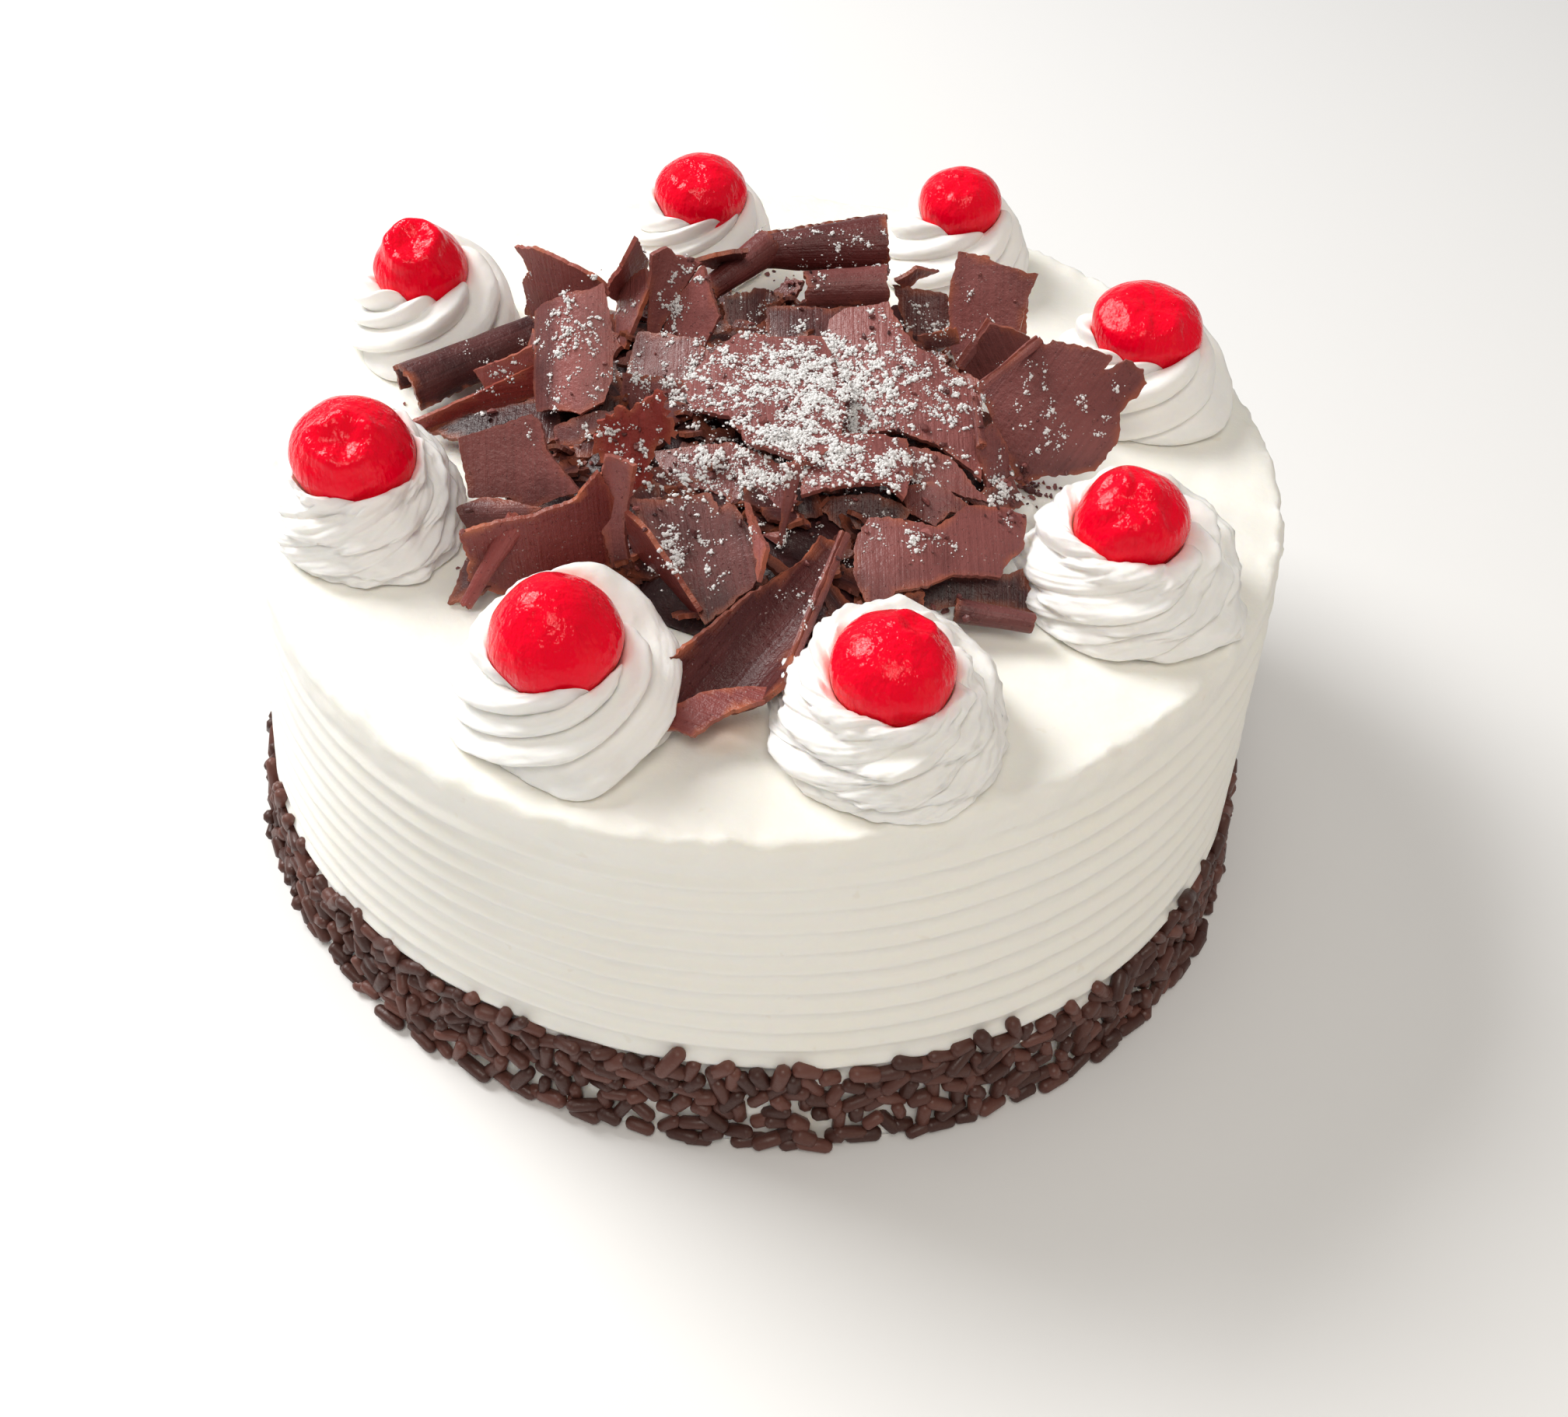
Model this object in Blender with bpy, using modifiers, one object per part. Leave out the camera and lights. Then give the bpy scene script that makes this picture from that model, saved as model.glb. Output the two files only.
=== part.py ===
"""Black forest cake: a cream-covered round cake with a combed side, chocolate sprinkles round its foot,
eight piped cream swirls that each carry a cherry, and a heap of chocolate shards in the middle.

Metres, +Z up. The origin is the centre of the cake's flat base, on the surface that it stands on.
"""

import math
import random
from dataclasses import dataclass

import bmesh
import bpy
from mathutils import Matrix, Vector

MM = 0.001

# Driving sizes of the cake, in millimetres until they are used
CAKE_HEIGHT = 78.7
TOP_RADIUS = 93.6
FOOT_RADIUS = 97.1
FOOT_BAND_TOP = 21.0
FOOT_FLARE = 2.4
FOOT_FLARE_TOP = 11.0
RIM_ROUNDING = 2.0
TURN_STEPS = 44

# The comb's ridges run round the side between these heights
COMB_TOP = 73.0
COMB_BOTTOM = 14.8
COMB_RIDGES = 11
COMB_DEPTH = 1.0

# The cake is slightly out of round: cosine and sine of twice and three times the angle
RIM_WOBBLE = (-0.009, 0.007, 0.013, 0.0)
FOOT_WOBBLE = (0.007, 0.010, -0.017, -0.009)

# Chocolate sprinkles on the foot
SPRINKLES = 105
SPRINKLE_RADIUS = 1.5
SPRINKLE_LENGTHS = (6.0, 9.0)
SPRINKLE_SIDES = 6
SPRINKLE_ROWS = (4.2, 10.6, 17.0)
SPRINKLE_ROW_OFFSET = 0.33
SPRINKLE_DRIFT = 0.18
SPRINKLE_RISE = (-0.9, 1.2)
SPRINKLE_LEAN = 75.0
SPRINKLE_PROUD = (1.15, 0.25, 0.25)
SPRINKLE_FLOOR = 0.6
SPRINKLE_SEED = 7

# Piped swirls stand this far above the top, as all pieces that rest on one another do
GAP = 0.3
COLUMNS_PER_LOBE = 3
CHERRY_CLEARANCE = 0.9
CHERRY_LIFT = 17.3
CHERRY_SEGMENTS = 10
CHERRY_RINGS = 7
PIT_EDGE = 0.72

# Chocolate
SHARD_THICKNESS = 1.8
CORE_CENTRE = (-2.0, -4.0)
CORE_HALF_SIZES = (47.0, 53.0)
CORE_HEIGHT = 15.0
CORE_FLATNESS = 0.75
CORE_SEGMENTS = 20
CORE_RINGS = 10
CORE_UNEVENNESS = 0.07
CORE_LUMPS = 0.08
CORE_SWELLS = ((3, 0.6, 1.0), (5, 2.0, 0.7))
CUTTER_MARGIN = 1.4
CUTTER_TAPER = 0.85
CUTTER_HEIGHT = 40.0
CUTTER_SINK = 6.0
CUTTER_BLOCK = 240.0

CREAM = ("cream", (0.93, 0.91, 0.86, 1.0), 0.55)
CHERRY_RED = ("cherry", (0.72, 0.0, 0.02, 1.0), 0.18)
CHOCOLATE = ("chocolate", (0.10, 0.045, 0.035, 1.0), 0.42)


@dataclass(frozen=True)
class Topping:
    """A piped swirl and its cherry, placed by the swirl's centre on the cake's top."""

    x: float
    y: float
    swirl_width: float
    height: float
    lobes: int
    twist: float
    cherry_width: float
    cherry_tall: float
    pit_heading: float
    pit_rise: float
    pit_depth: float


# In order from the back, clockwise as seen from above
TOPPINGS = (
    Topping(-16.0, 65.5, 31.0, 14.5, 8, 95.0, 18.8, 0.92, 250.0, 75.0, 0.10),
    Topping(37.5, 64.5, 33.0, 14.0, 8, 95.0, 16.8, 0.98, 260.0, 80.0, 0.06),
    Topping(70.0, 21.5, 37.0, 14.0, 8, 85.0, 21.0, 0.82, 280.0, 85.0, 0.12),
    Topping(60.0, -37.0, 38.5, 15.0, 9, 120.0, 19.6, 0.90, 250.0, 60.0, 0.12),
    Topping(18.5, -73.0, 37.0, 14.5, 9, 120.0, 18.7, 0.94, 40.0, 70.0, 0.16),
    Topping(-31.5, -69.5, 35.6, 15.0, 8, 90.0, 20.2, 0.98, 90.0, 90.0, 0.03),
    Topping(-69.5, -27.0, 32.6, 15.0, 9, 110.0, 20.6, 0.88, 285.0, 50.0, 0.22),
    Topping(-68.0, 32.5, 35.6, 14.5, 8, 95.0, 17.8, 0.94, 270.0, 60.0, 0.16),
)

# Rings of a swirl from its dish to its foot: radius, height, valley depth and turn, as shares of the whole
SWIRL_RINGS = (
    (0.60, 1.00, 0.07, 1.00),
    (0.76, 0.84, 0.12, 0.80),
    (0.92, 0.55, 0.15, 0.50),
    (1.00, 0.24, 0.14, 0.20),
    (0.94, 0.00, 0.10, 0.00),
)
VALLEY_DROP = 0.10


@dataclass(frozen=True)
class Panel:
    """A bent chocolate shard through four corners, in mm from the axis and above the cake's top."""

    near: tuple
    far: tuple
    far_low: tuple
    near_low: tuple
    bulge: float = 1.5


@dataclass(frozen=True)
class Roll:
    """A chocolate curl rolled round the line between two points."""

    start: tuple
    end: tuple
    radius: float
    wrap: float = 300.0
    opening: float = 90.0


PANELS = (
    Panel((-49, 28, 24), (-33, 25, 25), (-29, 30, 3), (-43, 29, 2)),
    Panel((-44, 12, 20), (-30, 10, 26), (-30, 0, 9), (-42, 4, 4), 3.0),
    Panel((-30, 27, 22), (-25, 25, 27), (-22, 26, 8), (-31, 29, 6)),
    Panel((-23, 25, 26), (-13, 23, 24), (-18, 19, 8), (-25, 20, 8), -2.0),
    Panel((-13, 23, 23), (-9, 15, 18), (-10, 12, 9), (-20, 16, 9)),
    Panel((23, 33, 14), (35, 31, 15), (35, 30, 2), (22, 26, 3)),
    Panel((34, 27, 25), (48, 21, 26), (44, 22, 3), (33, 20, 3), 1.0),
    Panel((39, 8, 23), (47, 6, 22), (43, 8, 3), (34, 5, 4), 1.0),
    Panel((43, -4, 26), (63, -8, 25), (57, -7, 2), (38, -11, 4), -2.0),
    Panel((34, -13, 20), (40, -14, 16), (42, -19, 3), (35, -23, 4), 1.0),
    Panel((9, 15, 17), (23, 18, 16), (34, -26, 12), (10, -24, 16), -1.5),
    Panel((-7, 12, 15), (9, 7, 16), (4, -27, 16), (-14, -14, 14), -1.0),
    Panel((-26, 15, 13), (-13, 10, 15), (-9, 3, 12), (-28, 8, 7)),
    Panel((14, -21, 14), (27, -21, 14), (38, -31, 8), (23, -32, 10), -1.0),
    Panel((4, -22, 16), (24, -21, 15), (21, -34, 10), (5, -34, 12), -1.0),
    Panel((2, -33, 20), (5, -33, 20), (4, -38, 8), (1, -38, 8), 0.0),
    Panel((-30, -21, 19), (-18, -20, 25), (-17, -23, 8), (-29, -22, 8), 2.0),
    Panel((-52, -18, 15), (-40, -16, 18), (-32, -25, 8), (-48, -26, 3), -1.5),
    Panel((-66, -2, 7), (-43, 4, 14), (-40, 6, 5), (-63, 1, 1), 0.0),
    Panel((-50, -46, 17), (-28, -38, 21), (-26, -39, 3), (-44, -46, 2), -3.0),
    Panel((-26, -41, 27), (-21, -42, 27), (-22, -44, 4), (-26, -43, 4), 1.0),
    Panel((-22, -42, 17), (-17, -47, 17), (-10, -54, 5), (-14, -53, 3), 0.0),
    Panel((-22, -38, 16), (-5, -37, 16), (-2, -50, 10), (-12, -54, 5), -1.0),
    Panel((4, -42, 14), (13, -40, 14), (1, -66, 6), (-14, -63, 7), 3.0),
    Panel((-14, -56, 7), (1, -59, 7), (-3, -76, 3), (-12, -76, 3), 1.0),
    Panel((14, -34, 13), (41, -35, 11), (37, -43, 3), (16, -50, 5), 0.0),
    Panel((25, -39, 5), (42, -38, 6), (43, -46, 2), (26, -48, 2), 0.0),
    Panel((-22, -19, 13), (-7, -21, 14), (4, -31, 12), (-16, -28, 11), 0.0),
)

ROLLS = (
    Roll((-3, 46, 10), (21, 49, 11), 5.6, 320.0, 250.0),
    Roll((-15, 36, 12), (-1, 45, 15), 2.6, 300.0, 90.0),
    Roll((6, 27, 15), (22, 31, 14), 3.4, 280.0, 60.0),
    Roll((-66, 6, 6), (-42, 19, 8), 3.4, 220.0, 90.0),
    Roll((-38, -41, 14), (-46, -50, 5), 2.4, 300.0, 90.0),
    Roll((29, -49, 4.5), (43, -51, 4), 2.6, 300.0, 270.0),
)


def material(spec: tuple) -> bpy.types.Material:
    """Return the plain material of one foodstuff."""
    name, colour, roughness = spec
    made = bpy.data.materials.new(name)
    made.use_nodes = True
    shader = made.node_tree.nodes["Principled BSDF"]
    shader.inputs["Base Color"].default_value = colour
    shader.inputs["Roughness"].default_value = roughness
    shader.inputs["Metallic"].default_value = 0.0
    return made


def add_object(name: str, mesh: bpy.types.Mesh, collection: bpy.types.Collection) -> bpy.types.Object:
    """Link a mesh as an object of one collection."""
    made = bpy.data.objects.new(name, mesh)
    collection.objects.link(made)
    return made


def mesh_from(bm: bmesh.types.BMesh, name: str) -> bpy.types.Mesh:
    """Write a finished bmesh to a mesh that is shaded smooth."""
    mesh = bpy.data.meshes.new(name)
    bm.to_mesh(mesh)
    bm.free()
    mesh.shade_smooth()
    return mesh


def evaluated_mesh(source: bpy.types.Object) -> bpy.types.Mesh:
    """Return the mesh of an object with its modifiers applied."""
    bpy.context.view_layer.update()
    graph = bpy.context.evaluated_depsgraph_get()
    return bpy.data.meshes.new_from_object(source.evaluated_get(graph))


def remove_object(gone: bpy.types.Object) -> None:
    """Remove a helper object and its mesh."""
    mesh = gone.data
    bpy.data.objects.remove(gone)
    bpy.data.meshes.remove(mesh)


def combine(body: bpy.types.Object, operation: str, pieces: bpy.types.Collection) -> None:
    """Join or cut a body with a collection, apply the result and remove the collection's objects."""
    boolean = body.modifiers.new(operation.title(), "BOOLEAN")
    boolean.operation = operation
    boolean.operand_type = "COLLECTION"
    boolean.collection = pieces
    boolean.solver = "EXACT"
    mesh = evaluated_mesh(body)
    body.modifiers.clear()
    old = body.data
    body.data = mesh
    bpy.data.meshes.remove(old)
    for piece in list(pieces.objects):
        remove_object(piece)


def largest_body(mesh: bpy.types.Mesh) -> None:
    """Keep the largest connected piece of a mesh, and drop scraps and sealed hollows."""
    bm = bmesh.new()
    bm.from_mesh(mesh)
    bmesh.ops.triangulate(bm, faces=bm.faces)
    unseen = set(bm.verts)
    islands = []
    while unseen:
        stack = [unseen.pop()]
        island = set(stack)
        while stack:
            for edge in stack.pop().link_edges:
                for vert in edge.verts:
                    if vert in unseen:
                        unseen.discard(vert)
                        island.add(vert)
                        stack.append(vert)
        islands.append(island)
    islands.sort(key=len)
    for scrap in islands[:-1]:
        middle = sum((vert.co for vert in scrap), Vector()) / len(scrap) / MM
        print(f"{mesh.name}: dropped a scrap of {len(scrap)} points at {middle.x:.0f}, {middle.y:.0f} mm")
    bmesh.ops.delete(bm, geom=[v for island in islands[:-1] for v in island], context="VERTS")
    bm.to_mesh(mesh)
    bm.free()


def side_radius(height: float) -> float:
    """Return the cake's mean radius in mm at a height in mm."""
    share = max(0.0, (height - FOOT_BAND_TOP) / (CAKE_HEIGHT - FOOT_BAND_TOP))
    flare = FOOT_FLARE * max(0.0, 1.0 - height / FOOT_FLARE_TOP)
    return FOOT_RADIUS + (TOP_RADIUS - FOOT_RADIUS) * share + flare


def out_of_round(angle: float, height: float) -> float:
    """Return how much wider than round the cake is at an angle and a height in mm."""
    share = min(1.0, max(0.0, (height - FOOT_BAND_TOP) / (CAKE_HEIGHT - FOOT_BAND_TOP)))
    waves = (math.cos(2 * angle), math.sin(2 * angle), math.cos(3 * angle), math.sin(3 * angle))
    rim = sum(a * b for a, b in zip(RIM_WOBBLE, waves))
    foot = sum(a * b for a, b in zip(FOOT_WOBBLE, waves))
    return 1.0 + foot + (rim - foot) * share


def cake_profile() -> list:
    """Return the turned profile in mm, from the middle of the top down the side to the base."""
    points = [
        (0.0, CAKE_HEIGHT),
        (TOP_RADIUS - RIM_ROUNDING, CAKE_HEIGHT),
        (TOP_RADIUS, CAKE_HEIGHT - RIM_ROUNDING),
    ]
    half_pitch = (COMB_TOP - COMB_BOTTOM) / (2 * COMB_RIDGES)
    for row in range(2 * COMB_RIDGES + 1):
        height = COMB_TOP - row * half_pitch
        wave = -1.0 if row % 2 == 0 else 1.0
        points.append((side_radius(height) + wave * COMB_DEPTH / 2, height))
    points += [(side_radius(1.0), 1.0), (side_radius(0.0) - 1.0, 0.0), (0.0, 0.0)]
    return points


def sprinkle_mesh(length: float, radius: float) -> bpy.types.Mesh:
    """Return a rounded rod along X, two rings and two blunt tips."""
    bm = bmesh.new()
    bmesh.ops.create_uvsphere(bm, u_segments=SPRINKLE_SIDES, v_segments=3, radius=1.0)
    for vert in bm.verts:
        tip = abs(vert.co.z) > 0.9
        reach = length / 2 if tip else length / 2 - 0.7 * radius
        spread = 0.0 if tip else radius
        flat = Vector((vert.co.x, vert.co.y))
        flat = flat.normalized() * spread if flat.length > 0.01 else flat * 0.0
        vert.co = Vector((math.copysign(reach, vert.co.z), flat.x, flat.y)) * MM
    return mesh_from(bm, "sprinkle")


def place_sprinkles(pieces: bpy.types.Collection) -> None:
    """Lay the larger sprinkles on the foot, evenly round it and at uneven heights and angles."""
    draw = random.Random(SPRINKLE_SEED)
    rows = len(SPRINKLE_ROWS)
    per_row = SPRINKLES // rows
    for index in range(SPRINKLES):
        row, step = index % rows, index // rows
        drift = SPRINKLE_ROW_OFFSET * row + draw.uniform(-SPRINKLE_DRIFT, SPRINKLE_DRIFT)
        angle = 2 * math.pi * (step + drift) / per_row
        length = draw.uniform(*SPRINKLE_LENGTHS)
        height = SPRINKLE_ROWS[row] + draw.uniform(*SPRINKLE_RISE)
        headroom = height - SPRINKLE_RADIUS - SPRINKLE_FLOOR
        steepest = math.degrees(math.asin(min(1.0, 2 * headroom / length)))
        lean = draw.uniform(-1.0, 1.0) * min(SPRINKLE_LEAN, steepest)
        reach = (side_radius(height) * out_of_round(angle, height) + SPRINKLE_PROUD[row]) * MM
        rod = add_object("sprinkle", sprinkle_mesh(length, SPRINKLE_RADIUS), pieces)
        tangent = Matrix.Rotation(angle + math.pi / 2, 4, "Z")
        tilt = Matrix.Rotation(math.radians(lean), 4, "Y")
        spot = Vector((reach * math.cos(angle), reach * math.sin(angle), height * MM))
        rod.matrix_world = Matrix.Translation(spot) @ tangent @ tilt


def cream_cake(parts: bpy.types.Collection, pieces: bpy.types.Collection) -> bpy.types.Object:
    """Build the cream-covered cake with its combed side and the sprinkles fused to its foot."""
    outline = cake_profile()
    profile = bpy.data.meshes.new("cake_profile")
    profile.from_pydata(
        [(r * MM, 0.0, z * MM) for r, z in outline], [(i, i + 1) for i in range(len(outline) - 1)], []
    )
    turned = add_object("cake_profile", profile, pieces)
    screw = turned.modifiers.new("Turn", "SCREW")
    screw.steps = screw.render_steps = TURN_STEPS
    screw.use_merge_vertices = True
    screw.merge_threshold = 0.00001
    mesh = evaluated_mesh(turned)
    remove_object(turned)
    for vert in mesh.vertices:
        stretch = out_of_round(math.atan2(vert.co.y, vert.co.x), vert.co.z / MM)
        vert.co.x *= stretch
        vert.co.y *= stretch
    cake = add_object("cream_cake", mesh, parts)
    place_sprinkles(pieces)
    combine(cake, "UNION", pieces)
    largest_body(cake.data)
    cake.data.shade_smooth()
    cake.data.set_sharp_from_angle(angle=math.radians(50.0))
    return cake


def swirl_rings(topping: Topping) -> list:
    """Return the swirl's rings in mm, from the bottom of its dish to the middle of its foot."""
    radius = topping.swirl_width / 2
    ball = topping.cherry_width / 2 + CHERRY_CLEARANCE
    inner = 0.5 * ball
    rings = [(0.0, CHERRY_LIFT - ball, 0.0, 1.0)]
    rings.append((inner, CHERRY_LIFT - math.sqrt(ball * ball - inner * inner), 0.0, 1.0))
    for share, tall, depth, turn in SWIRL_RINGS:
        rings.append((radius * share, GAP + (topping.height - GAP) * tall, depth, turn))
    rings.append((0.0, GAP, 0.0, 0.0))
    crest = rings[2]
    rings[2] = (max(crest[0], ball + 0.2), *crest[1:])
    return rings


def piped_swirl(number: int, topping: Topping, parts: bpy.types.Collection) -> bpy.types.Object:
    """Build one star-piped swirl: twisted lobes round a dish that holds the cherry."""
    rings = swirl_rings(topping)
    columns = topping.lobes * COLUMNS_PER_LOBE
    bm = bmesh.new()
    bmesh.ops.create_uvsphere(bm, u_segments=columns, v_segments=len(rings) - 1, radius=1.0)
    for vert in bm.verts:
        level = round(math.acos(max(-1.0, min(1.0, vert.co.z))) / math.pi * (len(rings) - 1))
        radius, height, depth, turn = rings[level]
        angle = math.atan2(vert.co.y, vert.co.x)
        column = round(angle / (2 * math.pi) * columns)
        valley = 1.0 if column % COLUMNS_PER_LOBE == 0 else 0.0
        spread = radius * (1.0 - depth * valley)
        drop = VALLEY_DROP * topping.height * valley if level == 2 else 0.0
        heading = angle + math.radians(topping.twist) * turn
        vert.co = Vector(
            (
                (topping.x + spread * math.cos(heading)) * MM,
                (topping.y + spread * math.sin(heading)) * MM,
                (CAKE_HEIGHT + height - drop) * MM,
            )
        )
    return add_object(f"swirl_{number}", mesh_from(bm, f"swirl_{number}"), parts)


def cherry(number: int, topping: Topping, parts: bpy.types.Collection) -> bpy.types.Object:
    """Build one stoned cherry with its pit's dimple, sitting in its swirl's dish."""
    radius = topping.cherry_width / 2
    heading, rise = math.radians(topping.pit_heading), math.radians(topping.pit_rise)
    pit = Vector(
        (math.cos(heading) * math.cos(rise), math.sin(heading) * math.cos(rise), math.sin(rise))
    )
    bm = bmesh.new()
    bmesh.ops.create_uvsphere(bm, u_segments=CHERRY_SEGMENTS, v_segments=CHERRY_RINGS, radius=1.0)
    for vert in bm.verts:
        facing = vert.co.normalized().dot(pit)
        dent = topping.pit_depth * max(0.0, (facing - PIT_EDGE) / (1.0 - PIT_EDGE))
        vert.co = vert.co * (radius * (1.0 - dent))
        vert.co.z *= topping.cherry_tall if vert.co.z > 0 else 1.0
        vert.co = (vert.co + Vector((topping.x, topping.y, CAKE_HEIGHT + CHERRY_LIFT))) * MM
    return add_object(f"cherry_{number}", mesh_from(bm, f"cherry_{number}"), parts)


def on_top(point: tuple) -> Vector:
    """Return a point in metres from mm measured above the cake's top."""
    return Vector((point[0], point[1], point[2] + CAKE_HEIGHT)) * MM


def sheet_object(name: str, across: int, along: int, shape, pieces: bpy.types.Collection) -> None:
    """Lay a grid on a shape given by two shares from 0 to 1, and thicken it evenly."""
    bm = bmesh.new()
    bmesh.ops.create_grid(bm, x_segments=across, y_segments=along, size=1.0)
    for vert in bm.verts:
        vert.co = shape((vert.co.x + 1) / 2, (vert.co.y + 1) / 2)
    sheet = add_object(name, mesh_from(bm, name), pieces)
    thick = sheet.modifiers.new("Thickness", "SOLIDIFY")
    thick.thickness = SHARD_THICKNESS * MM
    thick.offset = 0.0


def panel(index: int, spec: Panel, pieces: bpy.types.Collection) -> None:
    """Add one bent shard."""
    a, b, c, d = (on_top(p) for p in (spec.near, spec.far, spec.far_low, spec.near_low))
    normal = (b + c - a - d).cross(c + d - a - b).normalized()

    def shape(u: float, v: float) -> Vector:
        flat = (a * (1 - u) + b * u) * (1 - v) + (d * (1 - u) + c * u) * v
        return flat + normal * (4 * u * (1 - u) * spec.bulge * MM)

    sheet_object(f"panel_{index}", 4, 1, shape, pieces)


def roll(index: int, spec: Roll, pieces: bpy.types.Collection) -> None:
    """Add one rolled curl."""
    start, end = on_top(spec.start), on_top(spec.end)
    axis = (end - start).normalized()
    side = axis.cross(Vector((0.0, 0.0, 1.0))).normalized()
    upward = side.cross(axis)
    first = math.radians(spec.opening + (360.0 - spec.wrap) / 2)

    def shape(u: float, v: float) -> Vector:
        turn = first + math.radians(spec.wrap) * v
        spoke = side * math.cos(turn) + upward * math.sin(turn)
        return start.lerp(end, u) + spoke * (spec.radius - SHARD_THICKNESS / 2) * MM

    sheet_object(f"roll_{index}", 1, 7, shape, pieces)


def heap_core(parts: bpy.types.Collection) -> bpy.types.Object:
    """Build the heap's low uneven core."""
    bm = bmesh.new()
    bmesh.ops.create_uvsphere(bm, u_segments=CORE_SEGMENTS, v_segments=CORE_RINGS, radius=1.0)
    for vert in bm.verts:
        angle = math.atan2(vert.co.y, vert.co.x)
        waves = sum(size * math.sin(count * angle + shift) for count, shift, size in CORE_SWELLS)
        swell = 1.0 + CORE_UNEVENNESS * waves
        lumps = 1.0 + CORE_LUMPS * math.sin(7 * vert.co.x + 1.0) * math.sin(6 * vert.co.y)
        rise = math.copysign(abs(vert.co.z) ** CORE_FLATNESS, vert.co.z)
        vert.co = Vector(
            (
                (CORE_CENTRE[0] + vert.co.x * CORE_HALF_SIZES[0] * swell) * MM,
                (CORE_CENTRE[1] + vert.co.y * CORE_HALF_SIZES[1] * swell) * MM,
                (CAKE_HEIGHT + rise * CORE_HEIGHT * lumps) * MM,
            )
        )
    return add_object("chocolate_heap", mesh_from(bm, "chocolate_heap"), parts)


def heap_cutters(cutters: bpy.types.Collection) -> None:
    """Add the solids that keep the heap off the cake's top and the swirls."""
    bm = bmesh.new()
    bmesh.ops.create_cube(bm, size=CUTTER_BLOCK * MM)
    middle = CAKE_HEIGHT + GAP - CUTTER_BLOCK / 2
    bmesh.ops.translate(bm, verts=bm.verts, vec=(0.0, 0.0, middle * MM))
    add_object("top_cutter", mesh_from(bm, "top_cutter"), cutters)
    for number, topping in enumerate(TOPPINGS, 1):
        foot = (topping.swirl_width / 2 + CUTTER_MARGIN) * MM
        tip, depth = CUTTER_TAPER * foot, CUTTER_HEIGHT * MM
        middle = CAKE_HEIGHT + CUTTER_HEIGHT / 2 - CUTTER_SINK
        bm = bmesh.new()
        bmesh.ops.create_cone(
            bm, cap_ends=True, segments=CORE_SEGMENTS, radius1=foot, radius2=tip, depth=depth
        )
        spot = Vector((topping.x, topping.y, middle)) * MM
        bmesh.ops.translate(bm, verts=bm.verts, vec=spot)
        add_object(f"swirl_cutter_{number}", mesh_from(bm, "swirl_cutter"), cutters)
    for cutter in cutters.objects:
        cutter.hide_render = True
        cutter.display_type = "WIRE"


def chocolate_heap(
    parts: bpy.types.Collection, pieces: bpy.types.Collection, cutters: bpy.types.Collection
) -> bpy.types.Object:
    """Build the heap: shards and curls fused to the core, clear of the cream."""
    heap = heap_core(parts)
    for index, spec in enumerate(PANELS, 1):
        panel(index, spec, pieces)
    for index, spec in enumerate(ROLLS, 1):
        roll(index, spec, pieces)
    combine(heap, "UNION", pieces)
    heap_cutters(cutters)
    combine(heap, "DIFFERENCE", cutters)
    largest_body(heap.data)
    heap.data.shade_smooth()
    heap.data.set_sharp_from_angle(angle=math.radians(35.0))
    return heap


def new_collection(name: str) -> bpy.types.Collection:
    """Add a collection to the scene."""
    made = bpy.data.collections.new(name)
    bpy.context.scene.collection.children.link(made)
    return made


def main() -> None:
    """Clear the file and build every piece of the cake."""
    for old in list(bpy.data.objects):
        bpy.data.objects.remove(old)
    parts = new_collection("black_forest_cake")
    pieces = new_collection("joined_pieces")
    cutters = new_collection("cutters")
    cream, red, dark = (material(spec) for spec in (CREAM, CHERRY_RED, CHOCOLATE))
    cream_cake(parts, pieces).data.materials.append(cream)
    for number, topping in enumerate(TOPPINGS, 1):
        piped_swirl(number, topping, parts).data.materials.append(cream)
        cherry(number, topping, parts).data.materials.append(red)
    chocolate_heap(parts, pieces, cutters).data.materials.append(dark)


main()
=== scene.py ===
"""Looks of a black forest cake: combed cream, sprinkles, piped swirls, cherries, shards and sugar.

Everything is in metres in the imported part's frame. Sizes in the tables are in millimetres.
"""

import logging
import math
import random
import time
from dataclasses import dataclass, field
from enum import Enum
from typing import Optional, Sequence, Union

import bmesh
import bpy
import numpy as np
from mathutils import Matrix, Vector, noise
from mathutils.bvhtree import BVHTree


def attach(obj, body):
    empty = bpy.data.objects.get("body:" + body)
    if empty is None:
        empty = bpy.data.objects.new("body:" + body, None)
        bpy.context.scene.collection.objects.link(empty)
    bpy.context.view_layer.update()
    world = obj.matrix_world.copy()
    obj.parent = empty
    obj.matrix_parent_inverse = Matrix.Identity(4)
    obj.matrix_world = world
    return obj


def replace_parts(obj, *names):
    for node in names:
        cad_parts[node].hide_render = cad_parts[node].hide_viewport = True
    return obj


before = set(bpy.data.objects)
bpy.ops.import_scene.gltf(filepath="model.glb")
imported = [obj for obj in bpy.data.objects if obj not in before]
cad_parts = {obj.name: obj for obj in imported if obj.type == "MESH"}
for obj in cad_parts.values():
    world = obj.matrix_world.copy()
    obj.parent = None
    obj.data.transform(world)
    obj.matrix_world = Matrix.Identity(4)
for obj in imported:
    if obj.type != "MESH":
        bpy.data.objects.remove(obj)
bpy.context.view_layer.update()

MM = 0.001
log = logging.getLogger("cake")
STARTED = time.perf_counter()

CAKE_HEIGHT = 78.7
TOP_RADIUS = 93.6
FOOT_RADIUS = 97.1
FOOT_BAND_TOP = 21.0
FOOT_FLARE = 2.4
FOOT_FLARE_TOP = 11.0
RIM_WOBBLE = (-0.009, 0.007, 0.013, 0.0)
FOOT_WOBBLE = (0.007, 0.010, -0.017, -0.009)

Number = Union[float, "Socket"]
Colour = tuple[float, float, float, float]


class Slot(Enum):
    """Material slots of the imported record."""

    CREAM = "cream"
    PIPED_CREAM = "piped_cream"
    CHERRY = "cherry"
    CHOCOLATE = "chocolate"


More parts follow.
